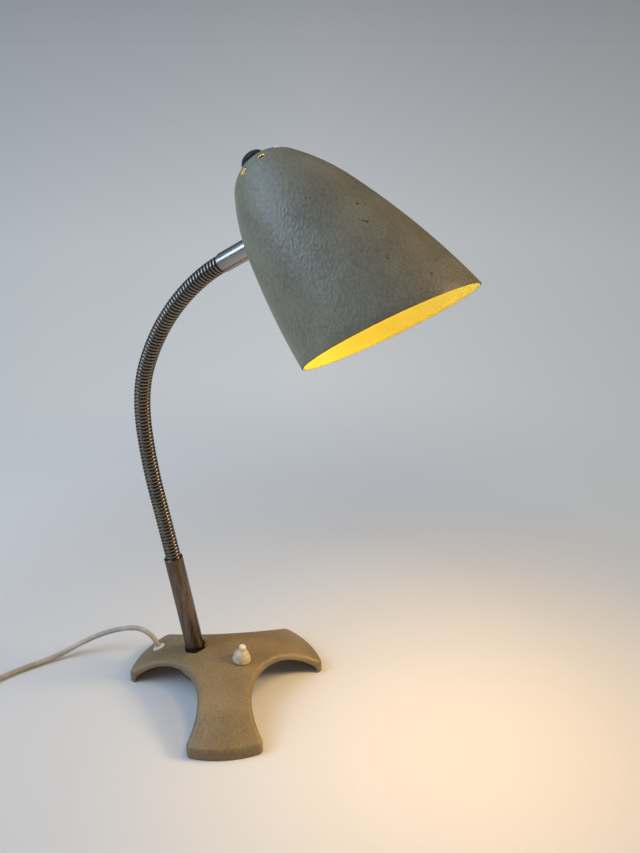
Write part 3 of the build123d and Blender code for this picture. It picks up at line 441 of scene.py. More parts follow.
# %% Glowing opal glass
opal_glass, tree, shader = new_material("opal_glass_lit")
place = add_node(tree, "ShaderNodeTexCoord").outputs["Object"]
flash = add_node(
    tree, "ShaderNodeTexNoise", {"Vector": place, "Scale": per_mm(25), "Detail": 2.0}
).outputs["Fac"]
opal = add_node(
    tree, "ShaderNodeValToRGB", {"Fac": flash}, [(0.3, "#fff1d2"), (0.7, "#ffe6b8")]
)
tree.links.new(opal.outputs["Color"], shader.inputs["Base Color"])
shader.inputs["Roughness"].default_value = 0.3
shader.inputs["Emission Color"].default_value = colour("#ffe840")
shader.inputs["Emission Strength"].default_value = 2.5
print(opal_glass.name)

# %% [markdown]
# ## Finish every part
# Each part names the finish it was given when it was drawn. A table from those names to the
# materials above dresses all of them at once. Then two pieces get a finish of their own: the
# nut at the tube's foot, which is darker than the tube, and the switch's button, which is
# cleaner than its body.

# %% Dress the parts
finish_of_slot = {
    "foot_paint": foot_enamel,
    "shade_paint": shade_enamel,
    "fibre_sheet": fibre_sheet,
    "zinc_plated_steel": zinc_plate,
    "burnished_steel": browned_steel,
    "gooseneck_steel": winding_steel,
    "ferrule_nickel": nickel_plate,
    "black_enamel": black_enamel,
    "holder_phenolic": phenolic,
    "holder_porcelain": porcelain,
    "brass": brass,
    "bulb_glass": opal_glass,
    "bulb_cap_metal": spun_aluminium,
    "switch_urea": aged_urea,
    "grommet_rubber": cream_rubber,
    "cord_sheath": cord_sheath,
    "plug_moulding": plug_vinyl,
    "wire_cover": wire_cover,
}
slot_of_node = {part["node"]: part["material_slot"] for part in frame["record"]["subparts"]}
for node_name, part in frame["nodes"].items():
    finish = finish_of_slot[slot_of_node[node_name]]
    for slot in part.material_slots:
        slot.material = finish
for node_name, finish in (("neck_nut", browned_nut), ("switch_button", urea_button)):
    for slot in frame["nodes"][node_name].material_slots:
        slot.material = finish
print("dressed", len(frame["nodes"]), "parts")

# %% [markdown]
# ## The cord
# A cord is one smooth curve with a round section. A NURBS spline of order 3 bends evenly
# round its control points, as a stiff vinyl cord does. It rises out of the grommet, falls to
# the table, runs to a neat flat coil of the length that isn't needed, and ends in its plug.
# The coil has two layers of four turns, wound inwards below and outwards above, so both ends
# come out at its edge.

# %% Both ends of the cord, in millimetres
# points are measured from the middle of the foot, which is at foot_x
foot_x = -56.33
cord_radius = 2.3
# height of the cord's middle where it lies on the table
lying = 2.35
from_grommet = [
    (foot_x + x, y, z) for x, y, z in (
        (-71.02, 0.0, 21.33), (-74.2, 0.0, 27.6), (-79.6, 0.0, 31.5), (-87.4, 0.0, 33.6),
        (-97.3, -0.2, 32.2), (-112.0, -1.2, 26.6), (-130.0, -5.5, 18.4), (-147.0, -17.0, 9.6),
        (-158.8, -33.3, 3.6), (-171.2, -51.2, lying), (-184.9, -74.2, lying),
        (-192.2, -97.4, lying), (-193.6, -112.8, lying),
    )
]
plug_back = Vector((foot_x - 271.7, -164.6, 4.65))
to_plug = [
    (foot_x + x, y, z) for x, y, z in (
        (-236.6, -161.1, 6.95), (-247.6, -161.4, 6.5), (-259.2, -162.5, 5.5),
        (-271.7, -164.6, 4.65),
    )
]
print("cord starts at", [round(c, 1) for c in from_grommet[0]])

# %% [markdown]
# ### The coil
# The coil is worked out as control points on a spiral. Between its control points a spline
# cuts corners, so the points are pushed outwards by the share that it cuts.

# %% Work out the coil
coil_centre = Vector((foot_x - 230.6, -124.0))
outer_turn, inner_turn = 37.0, 23.0
turns_per_layer, points_per_turn = 4, 16
# the upper layer starts with a climb of one cord's width, over five steps
layer_rise, climb_steps, settle_steps = 4.6, 5, 2
corner_cut = 0.75 + 0.25 * cos(2 * pi / points_per_turn)


def coil_points():
    """Control points of the coil, clockwise from its east side to its south side."""
    points = []
    steps = turns_per_layer * points_per_turn
    per_step = (outer_turn - inner_turn) / (turns_per_layer - 1) / points_per_turn
    angle = 0.0
    # lower layer: each turn lies inside the one before
    for step in range(1, steps + 1):
        angle = -2 * pi * step / points_per_turn
        radius = max(inner_turn, outer_turn - per_step * step)
        points.append((radius, angle, lying))
    # upper layer: back outwards, and a quarter turn more, to leave on the south side
    quarter = points_per_turn // 4
    for step in range(1, steps + quarter - 1):
        climb = min(1.0, step / climb_steps)
        turn_angle = angle - 2 * pi * step / points_per_turn
        radius = min(outer_turn, inner_turn + per_step * max(0, step - settle_steps))
        points.append((radius, turn_angle, lying + layer_rise * climb))
    return [
        (coil_centre.x + r / corner_cut * cos(a), coil_centre.y + r / corner_cut * sin(a), z)
        for r, a, z in points
    ]


route = from_grommet + coil_points() + to_plug
print(len(route), "control points")

# %% [markdown]
# ### From a route to a cord
# A curve with a bevel depth gets a round section for free, and its caps close its ends.

# %% Make the cord
cord_curve = bpy.data.curves.new("cord", "CURVE")
cord_curve.dimensions = "3D"
line = cord_curve.splines.new("NURBS")
line.points.add(len(route) - 1)
for control, (x, y, z) in zip(line.points, route):
    control.co = (x * MM, y * MM, z * MM, 1.0)
line.order_u = 3
line.use_endpoint_u = True
line.resolution_u = 5
cord_curve.bevel_depth = cord_radius * MM
cord_curve.bevel_resolution = 5
cord_curve.use_fill_caps = True
cord_curve.materials.append(cord_sheath)
cord = bpy.data.objects.new("cord", cord_curve)
scene.collection.objects.link(cord)
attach(cord, "base")
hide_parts("cord_tube", "cord_tail", "cord_coil")
control_length = sum((Vector(b) - Vector(a)).length for a, b in zip(route, route[1:])) * MM
print("control polygon", round(control_length, 3), "m")

# %% [markdown]
# ## Turned pieces
# Much of a lamp is turned or spun: a profile goes round an axis. One helper does that in
# bmesh. A profile may start and end on the axis, where its ring shrinks to a point. Edges
# where two faces meet at more than 35 degrees are marked sharp, so that rims stay crisp while
# curved faces shade smoothly.

# %% Helpers for meshes
def make_object(name, mesh_builder, materials, body):
    """Turn a bmesh into an object that rides on a body of the lamp, if one is given."""
    mesh = bpy.data.meshes.new(name)
    mesh_builder.to_mesh(mesh)
    mesh_builder.free()
    for material in materials:
        mesh.materials.append(material)
    piece = bpy.data.objects.new(name, mesh)
    scene.collection.objects.link(piece)
    if body:
        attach(piece, body)
    return piece


def keep_rims_crisp(builder, angle=35):
    """Shade all faces smoothly, except across edges sharper than an angle in degrees."""
    for face in builder.faces:
        face.smooth = True
    for edge in builder.edges:
        edge.smooth = len(edge.link_faces) != 2 or edge.calc_face_angle(0) < radians(angle)


def spokes(count):
    """Angles that divide a turn evenly."""
    return [2 * pi * k / count for k in range(count)]


def turned(profile, origin, axis, across, segments):
    """bmesh of a profile of (radius, height) in mm, turned about an axis."""
    builder = bmesh.new()
    side = axis.cross(across)
    rings = []
    for radius, height in profile:
        middle = origin + axis * height
        if radius == 0.0:
            rings.append([builder.verts.new(middle * MM)])
            continue
        rings.append([
            builder.verts.new((middle + (across * cos(a) + side * sin(a)) * radius) * MM)
            for a in spokes(segments)
        ])
    for low, high in zip(rings, rings[1:]):
        for k in range(segments):
            n = (k + 1) % segments
            corners = [
                low[k % len(low)], low[n % len(low)], high[n % len(high)], high[k % len(high)]
            ]
            unique = list(dict.fromkeys(corners))
            if len(unique) > 2:
                builder.faces.new(unique)
    bmesh.ops.recalc_face_normals(builder, faces=builder.faces)
    keep_rims_crisp(builder)
    return builder


print("mesh helpers ready")

# %% [markdown]
# ## The plug
# The plug is moulded on the cord: a flat round face that carries two pins, a body that tapers
# back to the cord, ribs to grip, and a stepped neck that bends with the cord. All of it is
# one turned profile, laid on its side so that its rim touches the table.

# %% Draw the plug's profile
neck_radius, rim_radius, cone_length, plug_length = 4.6, 15.0, 36.0, 42.0
groove_depth, grip_depth, rim_round = 0.7, 0.6, 0.8


def plug_radius(height):
    """Radius of the plug's cone, from the cord's end to its rim."""
    return neck_radius + (rim_radius - neck_radius) * height / cone_length


plug_profile = [(0.0, 0.0), (3.4, 0.0), (plug_radius(0) - 0.5, 0.5)]
# five rings of the neck, as grooves in the cone
for start in (1.0, 3.6, 6.2, 8.8, 11.4):
    plug_profile += [
        (plug_radius(start), start + 0.2),
        (plug_radius(start + 1.3), start + 1.5),
        (plug_radius(start + 1.3) - groove_depth, start + 1.8),
        (plug_radius(start + 2.2) - groove_depth, start + 2.3),
    ]
# four ribs to grip, as broader and shallower steps
for start in (15.0, 19.5, 24.0, 28.5):
    plug_profile += [
        (plug_radius(start), start),
        (plug_radius(start + 2.9), start + 2.9),
        (plug_radius(start + 3.3) - grip_depth, start + 3.3),
        (plug_radius(start + 3.9) - grip_depth, start + 4.0),
    ]
plug_profile += [
    (plug_radius(33.2), 33.2), (rim_radius, cone_length), (rim_radius, plug_length - rim_round),
    (rim_radius - rim_round, plug_length), (0.0, plug_length),
]
print("profile of", len(plug_profile), "points")

# %% [markdown]
# ### Lay the plug down
# The plug leaves the cord at its heading and tips up, by the angle of its cone, until cord
# end and rim both touch the table.

# %% Turn the plug
plug_heading = radians(189.5)
plug_tip = asin((rim_radius - neck_radius) / cone_length)
plug_axis = Vector((
    cos(plug_heading) * cos(plug_tip), sin(plug_heading) * cos(plug_tip), sin(plug_tip)
))
plug_across = plug_axis.cross(Vector((0, 0, 1))).normalized()
plug_mesh = turned(plug_profile, plug_back, plug_axis, plug_across, segments=72)
plug = make_object("moulded_plug", plug_mesh, [plug_vinyl], "base")
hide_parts("plug_body")
print("plug", len(plug.data.polygons), "faces")

# %% [markdown]
# ## The switch's spring
# Under the button of a push switch sits a small coil spring. Its end coils lie flat, as a
# real spring's do. Its place and size are read from the part that it stands for.

# %% Measure the spring
spring_part = frame["nodes"]["switch_spring"]
corners = [spring_part.matrix_world @ Vector(corner) / MM for corner in spring_part.bound_box]
spring_low = Vector([min(corner[k] for corner in corners) for k in range(3)])
spring_high = Vector([max(corner[k] for corner in corners) for k in range(3)])
spring_wire, spring_coils, flat_coils = 0.35, 5, 0.8
steps_per_coil, wire_sides = 24, 8
coil_radius = (spring_high.x - spring_low.x) / 2 - spring_wire
spring_middle = (spring_low + spring_high) / 2
free_height = spring_high.z - spring_low.z - 2 * spring_wire
print("spring", round(spring_high.z - spring_low.z, 2), "mm long, radius", round(coil_radius, 2))

# %% [markdown]
# ### Wind it
# A ring of eight points is carried round a helix, and each ring is joined to the next.

# %% Wind the spring
builder = bmesh.new()
rings = []
for step in range(spring_coils * steps_per_coil + 1):
    turn = 2 * pi * step / steps_per_coil
    # the first and last coil lie flat, and the rest climb evenly
    climb = (step / steps_per_coil - flat_coils) / (spring_coils - 2 * flat_coils)
    lift = spring_low.z + spring_wire + free_height * min(max(climb, 0.0), 1.0)
    out, up = Vector((cos(turn), sin(turn), 0)), Vector((0, 0, 1))
    middle = Vector((spring_middle.x, spring_middle.y, lift)) + out * coil_radius
    rings.append([
        builder.verts.new((middle + (out * cos(a) + up * sin(a)) * spring_wire) * MM)
        for a in spokes(wire_sides)
    ])
for low, high in zip(rings, rings[1:]):
    for k in range(wire_sides):
        n = (k + 1) % wire_sides
        builder.faces.new([low[k], low[n], high[n], high[k]])
builder.faces.new(rings[0])
builder.faces.new(list(reversed(rings[-1])))
bmesh.ops.recalc_face_normals(builder, faces=builder.faces)
keep_rims_crisp(builder)
spring = make_object("switch_coil", builder, [zinc_plate], None)
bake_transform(spring)
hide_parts("switch_spring")
print("spring", len(spring.data.polygons), "faces")

# %% [markdown]
# ## The shade
# The shade is drawn steel, 0.8 mm thick: three arcs that run into each other, turned about
# its axis and cut off by a slanted plane, with the lip rolled inwards to 1.5 mm. The rows of
# the mesh follow the arcs near the apex and then fan out to the slanted mouth, so that the
# lip is a clean ellipse.

# %% The shade's section
apex = Vector((-14.9093, 0.0, 449.9606))
shade_axis = Vector((0.6971651, 0.0, -0.7169106))
shade_across = Vector((-0.7169106, 0.0, -0.6971651))
shade_side = shade_axis.cross(shade_across)
# each arc: its radius, and how far the section has turned where it starts and ends
arcs = [(30.0, 0.0, 55.28), (139.8, 55.28, 72.30), (507.5, 72.30, 85.6)]
apex_radius, last_bend = arcs[0][0], arcs[-1][2]
arc_middles = [(0.0, apex_radius)]
for (small, _, bend), (large, _, _) in zip(arcs, arcs[1:]):
    x, y = arc_middles[-1]
    shift = small - large
    arc_middles.append((x + shift * sin(radians(bend)), y - shift * cos(radians(bend))))


def on_section(bend, inset=0.0):
    """Point of the section where it has turned by bend degrees, as (radius, station)."""
    for (radius, _, end), (x, y) in zip(arcs, arc_middles):
        if bend <= end or end == last_bend:
            reach = radius - inset
            return x + reach * sin(radians(bend)), y - reach * cos(radians(bend))


print("shade's section ends at", [round(v, 1) for v in on_section(last_bend)], "mm")

# %% [markdown]
# ### Where the mouth cuts it
# The mouth's plane leans 14 degrees from square to the axis, half downwards and half to the
# front. At each angle round the axis, halving a range of bends finds where the section
# meets it.

# %% Find the mouth
mouth_station, mouth_lean, mouth_side = 143.0, radians(14.1), radians(-45.8)
mouth_normal = (
    sin(mouth_lean) * cos(mouth_side), sin(mouth_lean) * sin(mouth_side), cos(mouth_lean)
)
halvings = 40


def mouth_bend(angle, inset=0.0, back=0.0):
    """How far the section has turned where it meets the mouth's plane, at an angle round."""
    low, high = 60.0, last_bend + 8.0
    for _ in range(halvings):
        middle = (low + high) / 2
        radius, station = on_section(middle, inset)
        beyond = (
            radius * (cos(angle) * mouth_normal[0] + sin(angle) * mouth_normal[1])
            + (station - mouth_station) * mouth_normal[2]
        )
        if beyond > -back:
            high = middle
        else:
            low = middle
    return (low + high) / 2


stations = [round(on_section(mouth_bend(a))[1], 1) for a in (0, pi / 2, pi)]
print("mouth at", stations, "mm from the apex")

# %% [markdown]
# ### The wall and its lip
# The section is closed: down the outside, round the half-round lip, up the thicker hem and
# the inside. Each strip knows its finish: hammered outside, pale inside, and bare steel on
# the outer half of the lip, where a shade wears first. That dark steel is also painted shade,
# where the lip turns away from the light.

# %% The section at one angle
wall, hem_wall, hem_depth, hem_step = 0.8, 1.5, 2.4, 0.5
# the half-round lip starts this far back from the mouth's plane and bulges this much
lip_start, lip_bulge = 0.55, 0.5
cap_hole = 5.6
hole_bend = degrees(asin(cap_hole / apex_radius))
# rows are even up to this bend, and from there they fan out to the mouth
fan_start, even_rows, fan_rows = 70.0, 21, 13
outside, inside, worn = 0, 1, 2


def shade_section(angle):
    """Closed section at one angle round, as (radius, station, finish of the strip after it)."""
    even_bends = [
        hole_bend + (fan_start - hole_bend) * k / even_rows for k in range(even_rows + 1)
    ]
    last = mouth_bend(angle, 0.0, lip_start)
    fan = [fan_start + (last - fan_start) * k / fan_rows for k in range(1, fan_rows + 1)]
    section = [(*on_section(b), outside) for b in even_bends + fan]
    for turn in (30, 60, 90, 120, 150):
        inset = hem_wall / 2 * (1 - cos(radians(turn)))
        back = lip_start - lip_bulge * sin(radians(turn))
        # the outer half of the lip is dark rusted steel, which is also painted shade
        finish = worn if turn < 90 else inside
        section.append((*on_section(mouth_bend(angle, inset, back), inset), finish))
    for back in (lip_start, hem_depth):
        section.append((*on_section(mouth_bend(angle, hem_wall, back), hem_wall), inside))
    inner = mouth_bend(angle, wall, hem_depth + hem_step)
    fan = [fan_start + (inner - fan_start) * k / fan_rows for k in range(fan_rows, 0, -1)]
    section += [(*on_section(b, wall), inside) for b in fan + even_bends[::-1]]
    return section


print("section of", len(shade_section(0.0)), "points")

# %% [markdown]
# ### Round the axis
# The section changes from angle to angle, so this is not a plain turned piece: one column of
# points is made at each angle, and each column is joined to the next.

# %% Build the shade's shell
shade_columns = 120


def build_shade():
    """bmesh of the shell, without its vents."""
    builder = bmesh.new()
    columns = []
    for angle in spokes(shade_columns):
        out = shade_across * cos(angle) + shade_side * sin(angle)
        columns.append([
            (builder.verts.new((apex + shade_axis * station + out * radius) * MM), finish)
            for radius, station, finish in shade_section(angle)
        ])
    for this, following in zip(columns, columns[1:] + columns[:1]):
        for row in range(len(this)):
            n = (row + 1) % len(this)
            face = builder.faces.new(
                [this[row][0], following[row][0], following[n][0], this[n][0]]
            )
            face.material_index = this[row][1]
    bmesh.ops.recalc_face_normals(builder, faces=builder.faces)
    return builder


shade_finishes = [shade_enamel, white_enamel, lip_rust_and_shade]
shade = make_object("shade_shell", build_shade(), shade_finishes, None)
print("shade", len(shade.data.polygons), "faces")

# %% [markdown]
# ### Vent holes
# Eight holes round the apex let the heat out. They are punched after the shell is made, with
# a Boolean modifier and eight short drills, and the modifier is applied.

# %% Make the drills
vents, vent_radius, vent_ring, drill_sides = 8, 2.25, 19.7, 28
drill_start, drill_end = 24.0, 36.0


def drills():
    """bmesh of eight cylinders that stand square on the shade's round end."""
    builder = bmesh.new()
    centre = apex + shade_axis * apex_radius
    lean = asin(vent_ring / apex_radius)
    for angle in spokes(vents):
        out = shade_across * cos(angle) + shade_side * sin(angle)
        axis = (out * sin(lean) - shade_axis * cos(lean)).normalized()
        aside = shade_side if abs(axis.dot(shade_side)) < 0.9 else shade_axis
        across = axis.cross(aside).normalized()
        up = axis.cross(across)
        low, high = [
            [
                builder.verts.new(
                    (centre + axis * height + (across * cos(a) + up * sin(a)) * vent_radius) * MM
                )
                for a in spokes(drill_sides)
            ]
            for height in (drill_start, drill_end)
        ]
        for n in range(drill_sides):
            m = (n + 1) % drill_sides
            builder.faces.new([low[n], low[m], high[m], high[n]])
        builder.faces.new(low)
        builder.faces.new(high[::-1])
    bmesh.ops.recalc_face_normals(builder, faces=builder.faces)
    return builder


drill_mesh = bpy.data.meshes.new("drills")
drill_builder = drills()
drill_builder.to_mesh(drill_mesh)
drill_builder.free()
drill = bpy.data.objects.new("drills", drill_mesh)
scene.collection.objects.link(drill)
print(vents, "drills")

# %% [markdown]
# ### Punch the vents
# Applying a modifier in code means asking Blender for the finished mesh and putting it in
# the old one's place. After that the drills are thrown away.

# %% Punch the vents
cut = shade.modifiers.new("vents", "BOOLEAN")
cut.object = drill
cut.solver = "EXACT"
evaluated = shade.evaluated_get(bpy.context.evaluated_depsgraph_get())
punched = bpy.data.meshes.new_from_object(evaluated)
shade.modifiers.clear()
shade.data = punched
bpy.data.objects.remove(drill)
shade_builder = bmesh.new()
shade_builder.from_mesh(punched)
keep_rims_crisp(shade_builder, 40)
shade_builder.to_mesh(punched)
shade_builder.free()
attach(shade, "head")
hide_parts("shade")
print("punched shade", len(shade.data.polygons), "faces")

# %% [markdown]
# ## The neck's middle line
# The neck is made of ten links of one length. At rest each link is an arc that turns by a few
# degrees more, so the neck's middle line is a chain of arcs, and a point on it is found by
# how far along it lies.

# %% The neck's middle line
link_length = 28.9
link_turns = [-1.0, 0.0, 4.0, 4.0, 10.0, 15.0, 9.0, 9.0, 9.0, 11.0]
neck_length = len(link_turns) * link_length
neck_start = Vector((-102.6842, 0.0, 120.9611))
tube_lean = -10.28


def along_arc(point, begin, end, length):
    """Follow an arc from a point, as its lean (in radians) goes from begin to end."""
    if abs(end - begin) < 1e-9:
        return point + Vector((sin(begin), 0, cos(begin))) * length
    step = Vector((cos(begin) - cos(end), 0, sin(end) - sin(begin)))
    return point + step * (length / (end - begin))


link_starts = [(neck_start, tube_lean)]
for turn in link_turns:
    point, lean = link_starts[-1]
    end = along_arc(point, radians(lean), radians(lean + turn), link_length)
    link_starts.append((end, lean + turn))


def neck_point(reach):
    """Middle of the neck and its lean, this far along it from the tube's rim, in mm."""
    index = min(max(int(reach // link_length), 0), len(link_turns) - 1)
    point, lean = link_starts[index]
    over = reach - index * link_length
    turn = link_turns[index] if 0 <= reach <= neck_length else 0.0
    if reach > neck_length:
        point, lean = link_starts[-1]
        over = reach - neck_length
    begin = radians(lean)
    end = begin + radians(turn) * over / link_length
    return along_arc(point, begin, end, over), end


neck_end, end_lean = link_starts[-1]
print("neck ends at", [round(c, 1) for c in neck_end], "lean", round(end_lean, 1))

# %% [markdown]
# ## The neck's winding
# The neck is a strip of steel wound tight into a tube, 13 mm across with a turn every 3 mm.
# Here it is one ribbon with a rounded back, swept along a helix: its two edges meet the next
# turns in a deep groove.

# %% Wind the ribbon
winding_turns, steps_per_turn = 96, 44
winding_pitch = neck_length / winding_turns
crest_radius, groove_radius = 6.5, 5.45
# points across the ribbon's round back, as angles from its crest
ribbon = [-90, -66, -42, -14, 14, 42, 66, 90]


def wind(first, last):
    """bmesh of the winding between two reaches along the neck, which are cut in whole steps."""
    builder = bmesh.new()
    crest_layer = builder.verts.layers.float.new("crest")
    begin = round(first / winding_pitch * steps_per_turn)
    end = round(last / winding_pitch * steps_per_turn)
    rows = []
    for step in range(begin, end + 1):
        angle = 2 * pi * step / steps_per_turn
        row = []
        for lift in ribbon:
            reach = winding_pitch * (step / steps_per_turn + sin(radians(lift)) / 2)
            point, lean = neck_point(reach)
            radius = groove_radius + (crest_radius - groove_radius) * cos(radians(lift))
            ahead, aside = Vector((cos(lean), 0, -sin(lean))), Vector((0, 1, 0))
            out = ahead * cos(angle) + aside * sin(angle)
            vert = builder.verts.new((point + out * radius) * MM)
            vert[crest_layer] = cos(radians(lift))
            row.append(vert)
        rows.append(row)
    for this, following in zip(rows, rows[1:]):
        for k in range(len(ribbon) - 1):
            builder.faces.new([this[k], following[k], following[k + 1], this[k + 1]])
    bmesh.ops.remove_doubles(builder, verts=builder.verts, dist=0.001 * MM)
    bmesh.ops.recalc_face_normals(builder, faces=builder.faces)
    keep_rims_crisp(builder, 50)
    return builder


print("a turn every", round(winding_pitch, 2), "mm")

# %% [markdown]
# ### Nine lengths of it
# The neck bends at nine joints, and a piece that bends may cross only one of them. So the
# winding is cut into nine lengths, each from the middle of one link to the middle of the
# next, where nothing moves. The first runs down into the tube and the last up into the
# ferrule.

# %% Cut the winding
into_tube, into_ferrule, blend_reach = 6.0, 7.0, 10.0
for joint in range(1, 10):
    first = -into_tube if joint == 1 else (joint - 0.5) * link_length
    last = neck_length + into_ferrule if joint == 9 else (joint + 0.5) * link_length
    winding = wind(first, last)
    piece = make_object(f"winding_{joint}", winding, [winding_steel], None)
    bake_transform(piece)
    links = ["gooseneck_1", "gooseneck_2"] if joint == 1 else [f"gooseneck_{joint + 1}"]
    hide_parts(*links)
print("winding of", winding_turns, "turns in nine lengths")

# %% [markdown]
# ## The studio
# The lamp stands on one large pale sheet of paper, which runs back and up as a sweep. Only
# the floor is made as a mesh. It is large enough to reach the horizon, and lies a hair below
# the lamp, so that the two don't share a surface.

# %% Lay the floor
floor_radius, floor_drop = 80.0, 0.0003
floor_builder = bmesh.new()
bmesh.ops.create_circle(floor_builder, cap_ends=True, segments=64, radius=floor_radius)
floor_mesh = bpy.data.meshes.new("floor")
floor_builder.to_mesh(floor_mesh)
floor_builder.free()
floor = bpy.data.objects.new("floor", floor_mesh)
scene.collection.objects.link(floor)
floor.location.z = -floor_drop
print("floor", 2 * floor_radius, "m across")

# %% [markdown]
# ### Pale paper
# Near the lamp the paper is a real diffuse surface, matt and slightly grey, that takes the
# lamp's shadow and its warm pool of light. It is painted a little paler half a metre away:
# painted light, which makes up for the lamps' light falling off there.

# %% The paper near the lamp
paper, tree, shader = new_material("pale_paper_floor")
shader.inputs["Roughness"].default_value = 0.85
place = add_node(tree, "ShaderNodeTexCoord").outputs["Object"]
away = add_node(
    tree, "ShaderNodeVectorMath", {0: place}, operation="LENGTH"
).outputs["Value"]
# painted light: paler away from the lamp, to make up for light falling off with distance
sheet = add_node(
    tree, "ShaderNodeValToRGB", {"Fac": away},
    [(0.14, "#d0cecb"), (0.30, "#cecdcb"), (0.5, "#dadad9")],
)
tree.links.new(sheet.outputs["Color"], shader.inputs["Base Color"])
print(paper.name)

# %% [markdown]
# ### Haze far away
# A lit sweep has no horizon: it darkens evenly as it runs back. In any view a floor's height
# goes by 1 / distance, so the grey is laid along 1 / (distance + 0.6 m), which is 1 at 0.4 m
# from the lamp and falls to 0 at the horizon. The sweep is lit from its left, so it is cooler
# there and a little darker and warmer on its right.

# %% Greys and tints of the sweep
haze_near = 0.6
haze_greys = [(0.0, "#9ca0a6"), (0.4, "#bcc0c4"), (1.0, "#c8cccf")]
sweep_across, sweep_edge = (0.9028, 0.4301, 0.0), 0.36
sweep_tints = [(0.0, "#f0f6fa"), (0.5, "#ffffff"), (1.0, "#e8e8e4")]
reach = add_node(tree, "ShaderNodeMath", {0: away, 1: haze_near}, operation="ADD").outputs[0]
nearness = add_node(tree, "ShaderNodeMath", {0: 1.0, 1: reach}, operation="DIVIDE").outputs[0]
haze = add_node(
    tree, "ShaderNodeValToRGB", {"Fac": nearness}, haze_greys
).outputs["Color"]
sideways = add_node(
    tree, "ShaderNodeVectorMath", {0: place, 1: sweep_across}, operation="DOT_PRODUCT"
).outputs["Value"]
aside = add_node(
    tree, "ShaderNodeMath", {0: sideways, 1: nearness}, operation="MULTIPLY"
).outputs[0]
across = add_node(
    tree, "ShaderNodeMapRange", {"Value": aside, "From Min": -sweep_edge, "From Max": sweep_edge}
).outputs["Result"]
tint = add_node(tree, "ShaderNodeValToRGB", {"Fac": across}, sweep_tints).outputs["Color"]
lit_haze = add_node(
    tree, "ShaderNodeMix", {"Factor": 1.0, "A": haze, "B": tint},
    data_type="RGBA", blend_type="MULTIPLY",
).outputs["Result"]
print(len(haze_greys), "greys and", len(sweep_tints), "tints")

# %% [markdown]
# ### From paper to haze
# From 0.22 to 0.9 m from the lamp the paper gives way to a plain glow of the haze's grey.
# Only what the camera sees directly or in a mirror is swapped, with Light Path, so the glow
# adds no light to the lamp.

# %% Fade the paper into the haze
far = add_node(
    tree, "ShaderNodeMapRange", {"Value": away, "From Min": 0.22, "From Max": 0.9},
    interpolation_type="SMOOTHERSTEP",
).outputs["Result"]
glow = add_node(
    tree, "ShaderNodeEmission", {"Color": lit_haze, "Strength": 1.0}
).outputs["Emission"]
ray = add_node(tree, "ShaderNodeLightPath").outputs
direct = add_node(
    tree, "ShaderNodeMath", {0: ray["Is Camera Ray"], 1: ray["Is Glossy Ray"]},
    operation="MAXIMUM",
).outputs[0]
share = add_node(tree, "ShaderNodeMath", {0: far, 1: direct}, operation="MULTIPLY").outputs[0]
fade = add_node(tree, "ShaderNodeMixShader", {0: share, 1: shader.outputs["BSDF"], 2: glow})
surface = next(node for node in tree.nodes if node.type == "OUTPUT_MATERIAL")
tree.links.new(fade.outputs[0], surface.inputs["Surface"])
floor.data.materials.append(paper)
print("floor in", paper.name)

# %% [markdown]
# ## The room
# The world lights the lamp as a room does: cool on the window's side and warm on the other,
# brightest overhead and dim at table height, so that the hollows under the foot stay dark.

# %% Light from the room
world = bpy.data.worlds.new("studio")
scene.world = world
world.use_nodes = True
tree = world.node_tree
tree.nodes.clear()
heading = add_node(tree, "ShaderNodeTexCoord").outputs["Generated"]
height = add_node(tree, "ShaderNodeSeparateXYZ", {"Vector": heading}).outputs["Z"]
overhead = add_node(
    tree, "ShaderNodeValToRGB", {"Fac": height}, [(0.0, 0.18), (0.4, 0.45), (0.85, 1.0)]
).outputs["Color"]
sideways = add_node(
    tree, "ShaderNodeVectorMath", {0: heading, 1: sweep_across}, operation="DOT_PRODUCT"
).outputs["Value"]
from_window = add_node(
    tree, "ShaderNodeMapRange", {"Value": sideways, "From Min": -0.8, "From Max": 0.8}
).outputs["Result"]
daylight = add_node(
    tree, "ShaderNodeValToRGB", {"Fac": from_window}, [(0.0, "#beddff"), (1.0, "#c9a878")]
).outputs["Color"]
room_light = add_node(
    tree, "ShaderNodeMix", {"Factor": 1.0, "A": daylight, "B": overhead},
    data_type="RGBA", blend_type="MULTIPLY",
).outputs["Result"]
room = add_node(tree, "ShaderNodeBackground", {"Color": room_light, "Strength": 0.6}).outputs[0]
print("room light in", world.name)

# %% [markdown]
# ### The backdrop
# The camera doesn't see that room. With Is Camera Ray, and Is Transmission Ray for glass, it
# sees the sweep's upper part, which goes on where the floor's haze ends, in the same grey and
# with the same tints from side to side.

# %% Backdrop for the camera
upward = add_node(
    tree, "ShaderNodeValToRGB", {"Fac": height}, [haze_greys[0], (0.05, "#90949a")]
).outputs["Color"]
across = add_node(
    tree, "ShaderNodeMapRange",
    {"Value": sideways, "From Min": -sweep_edge, "From Max": sweep_edge},
).outputs["Result"]
tint = add_node(tree, "ShaderNodeValToRGB", {"Fac": across}, sweep_tints).outputs["Color"]
sweep = add_node(
    tree, "ShaderNodeMix", {"Factor": 1.0, "A": upward, "B": tint},
    data_type="RGBA", blend_type="MULTIPLY",
).outputs["Result"]
backdrop = add_node(tree, "ShaderNodeBackground", {"Color": sweep, "Strength": 1.0}).outputs[0]
ray = add_node(tree, "ShaderNodeLightPath").outputs
direct = add_node(
    tree, "ShaderNodeMath", {0: ray["Is Camera Ray"], 1: ray["Is Transmission Ray"]},
    operation="MAXIMUM",
).outputs[0]
mixed = add_node(tree, "ShaderNodeMixShader", {0: direct, 1: room, 2: backdrop})
add_node(tree, "ShaderNodeOutputWorld", {"Surface": mixed.outputs[0]})
print("backdrop in", world.name)

# %% [markdown]
# ## Window and room lamps
# Area lights are soft, as windows and lampshades are. A window and the sky above it stand on
# the left, cool and wide. A warm ceiling lamp hangs far off on the right, and a small warm
# one near the table keeps the right of the foot from going grey.

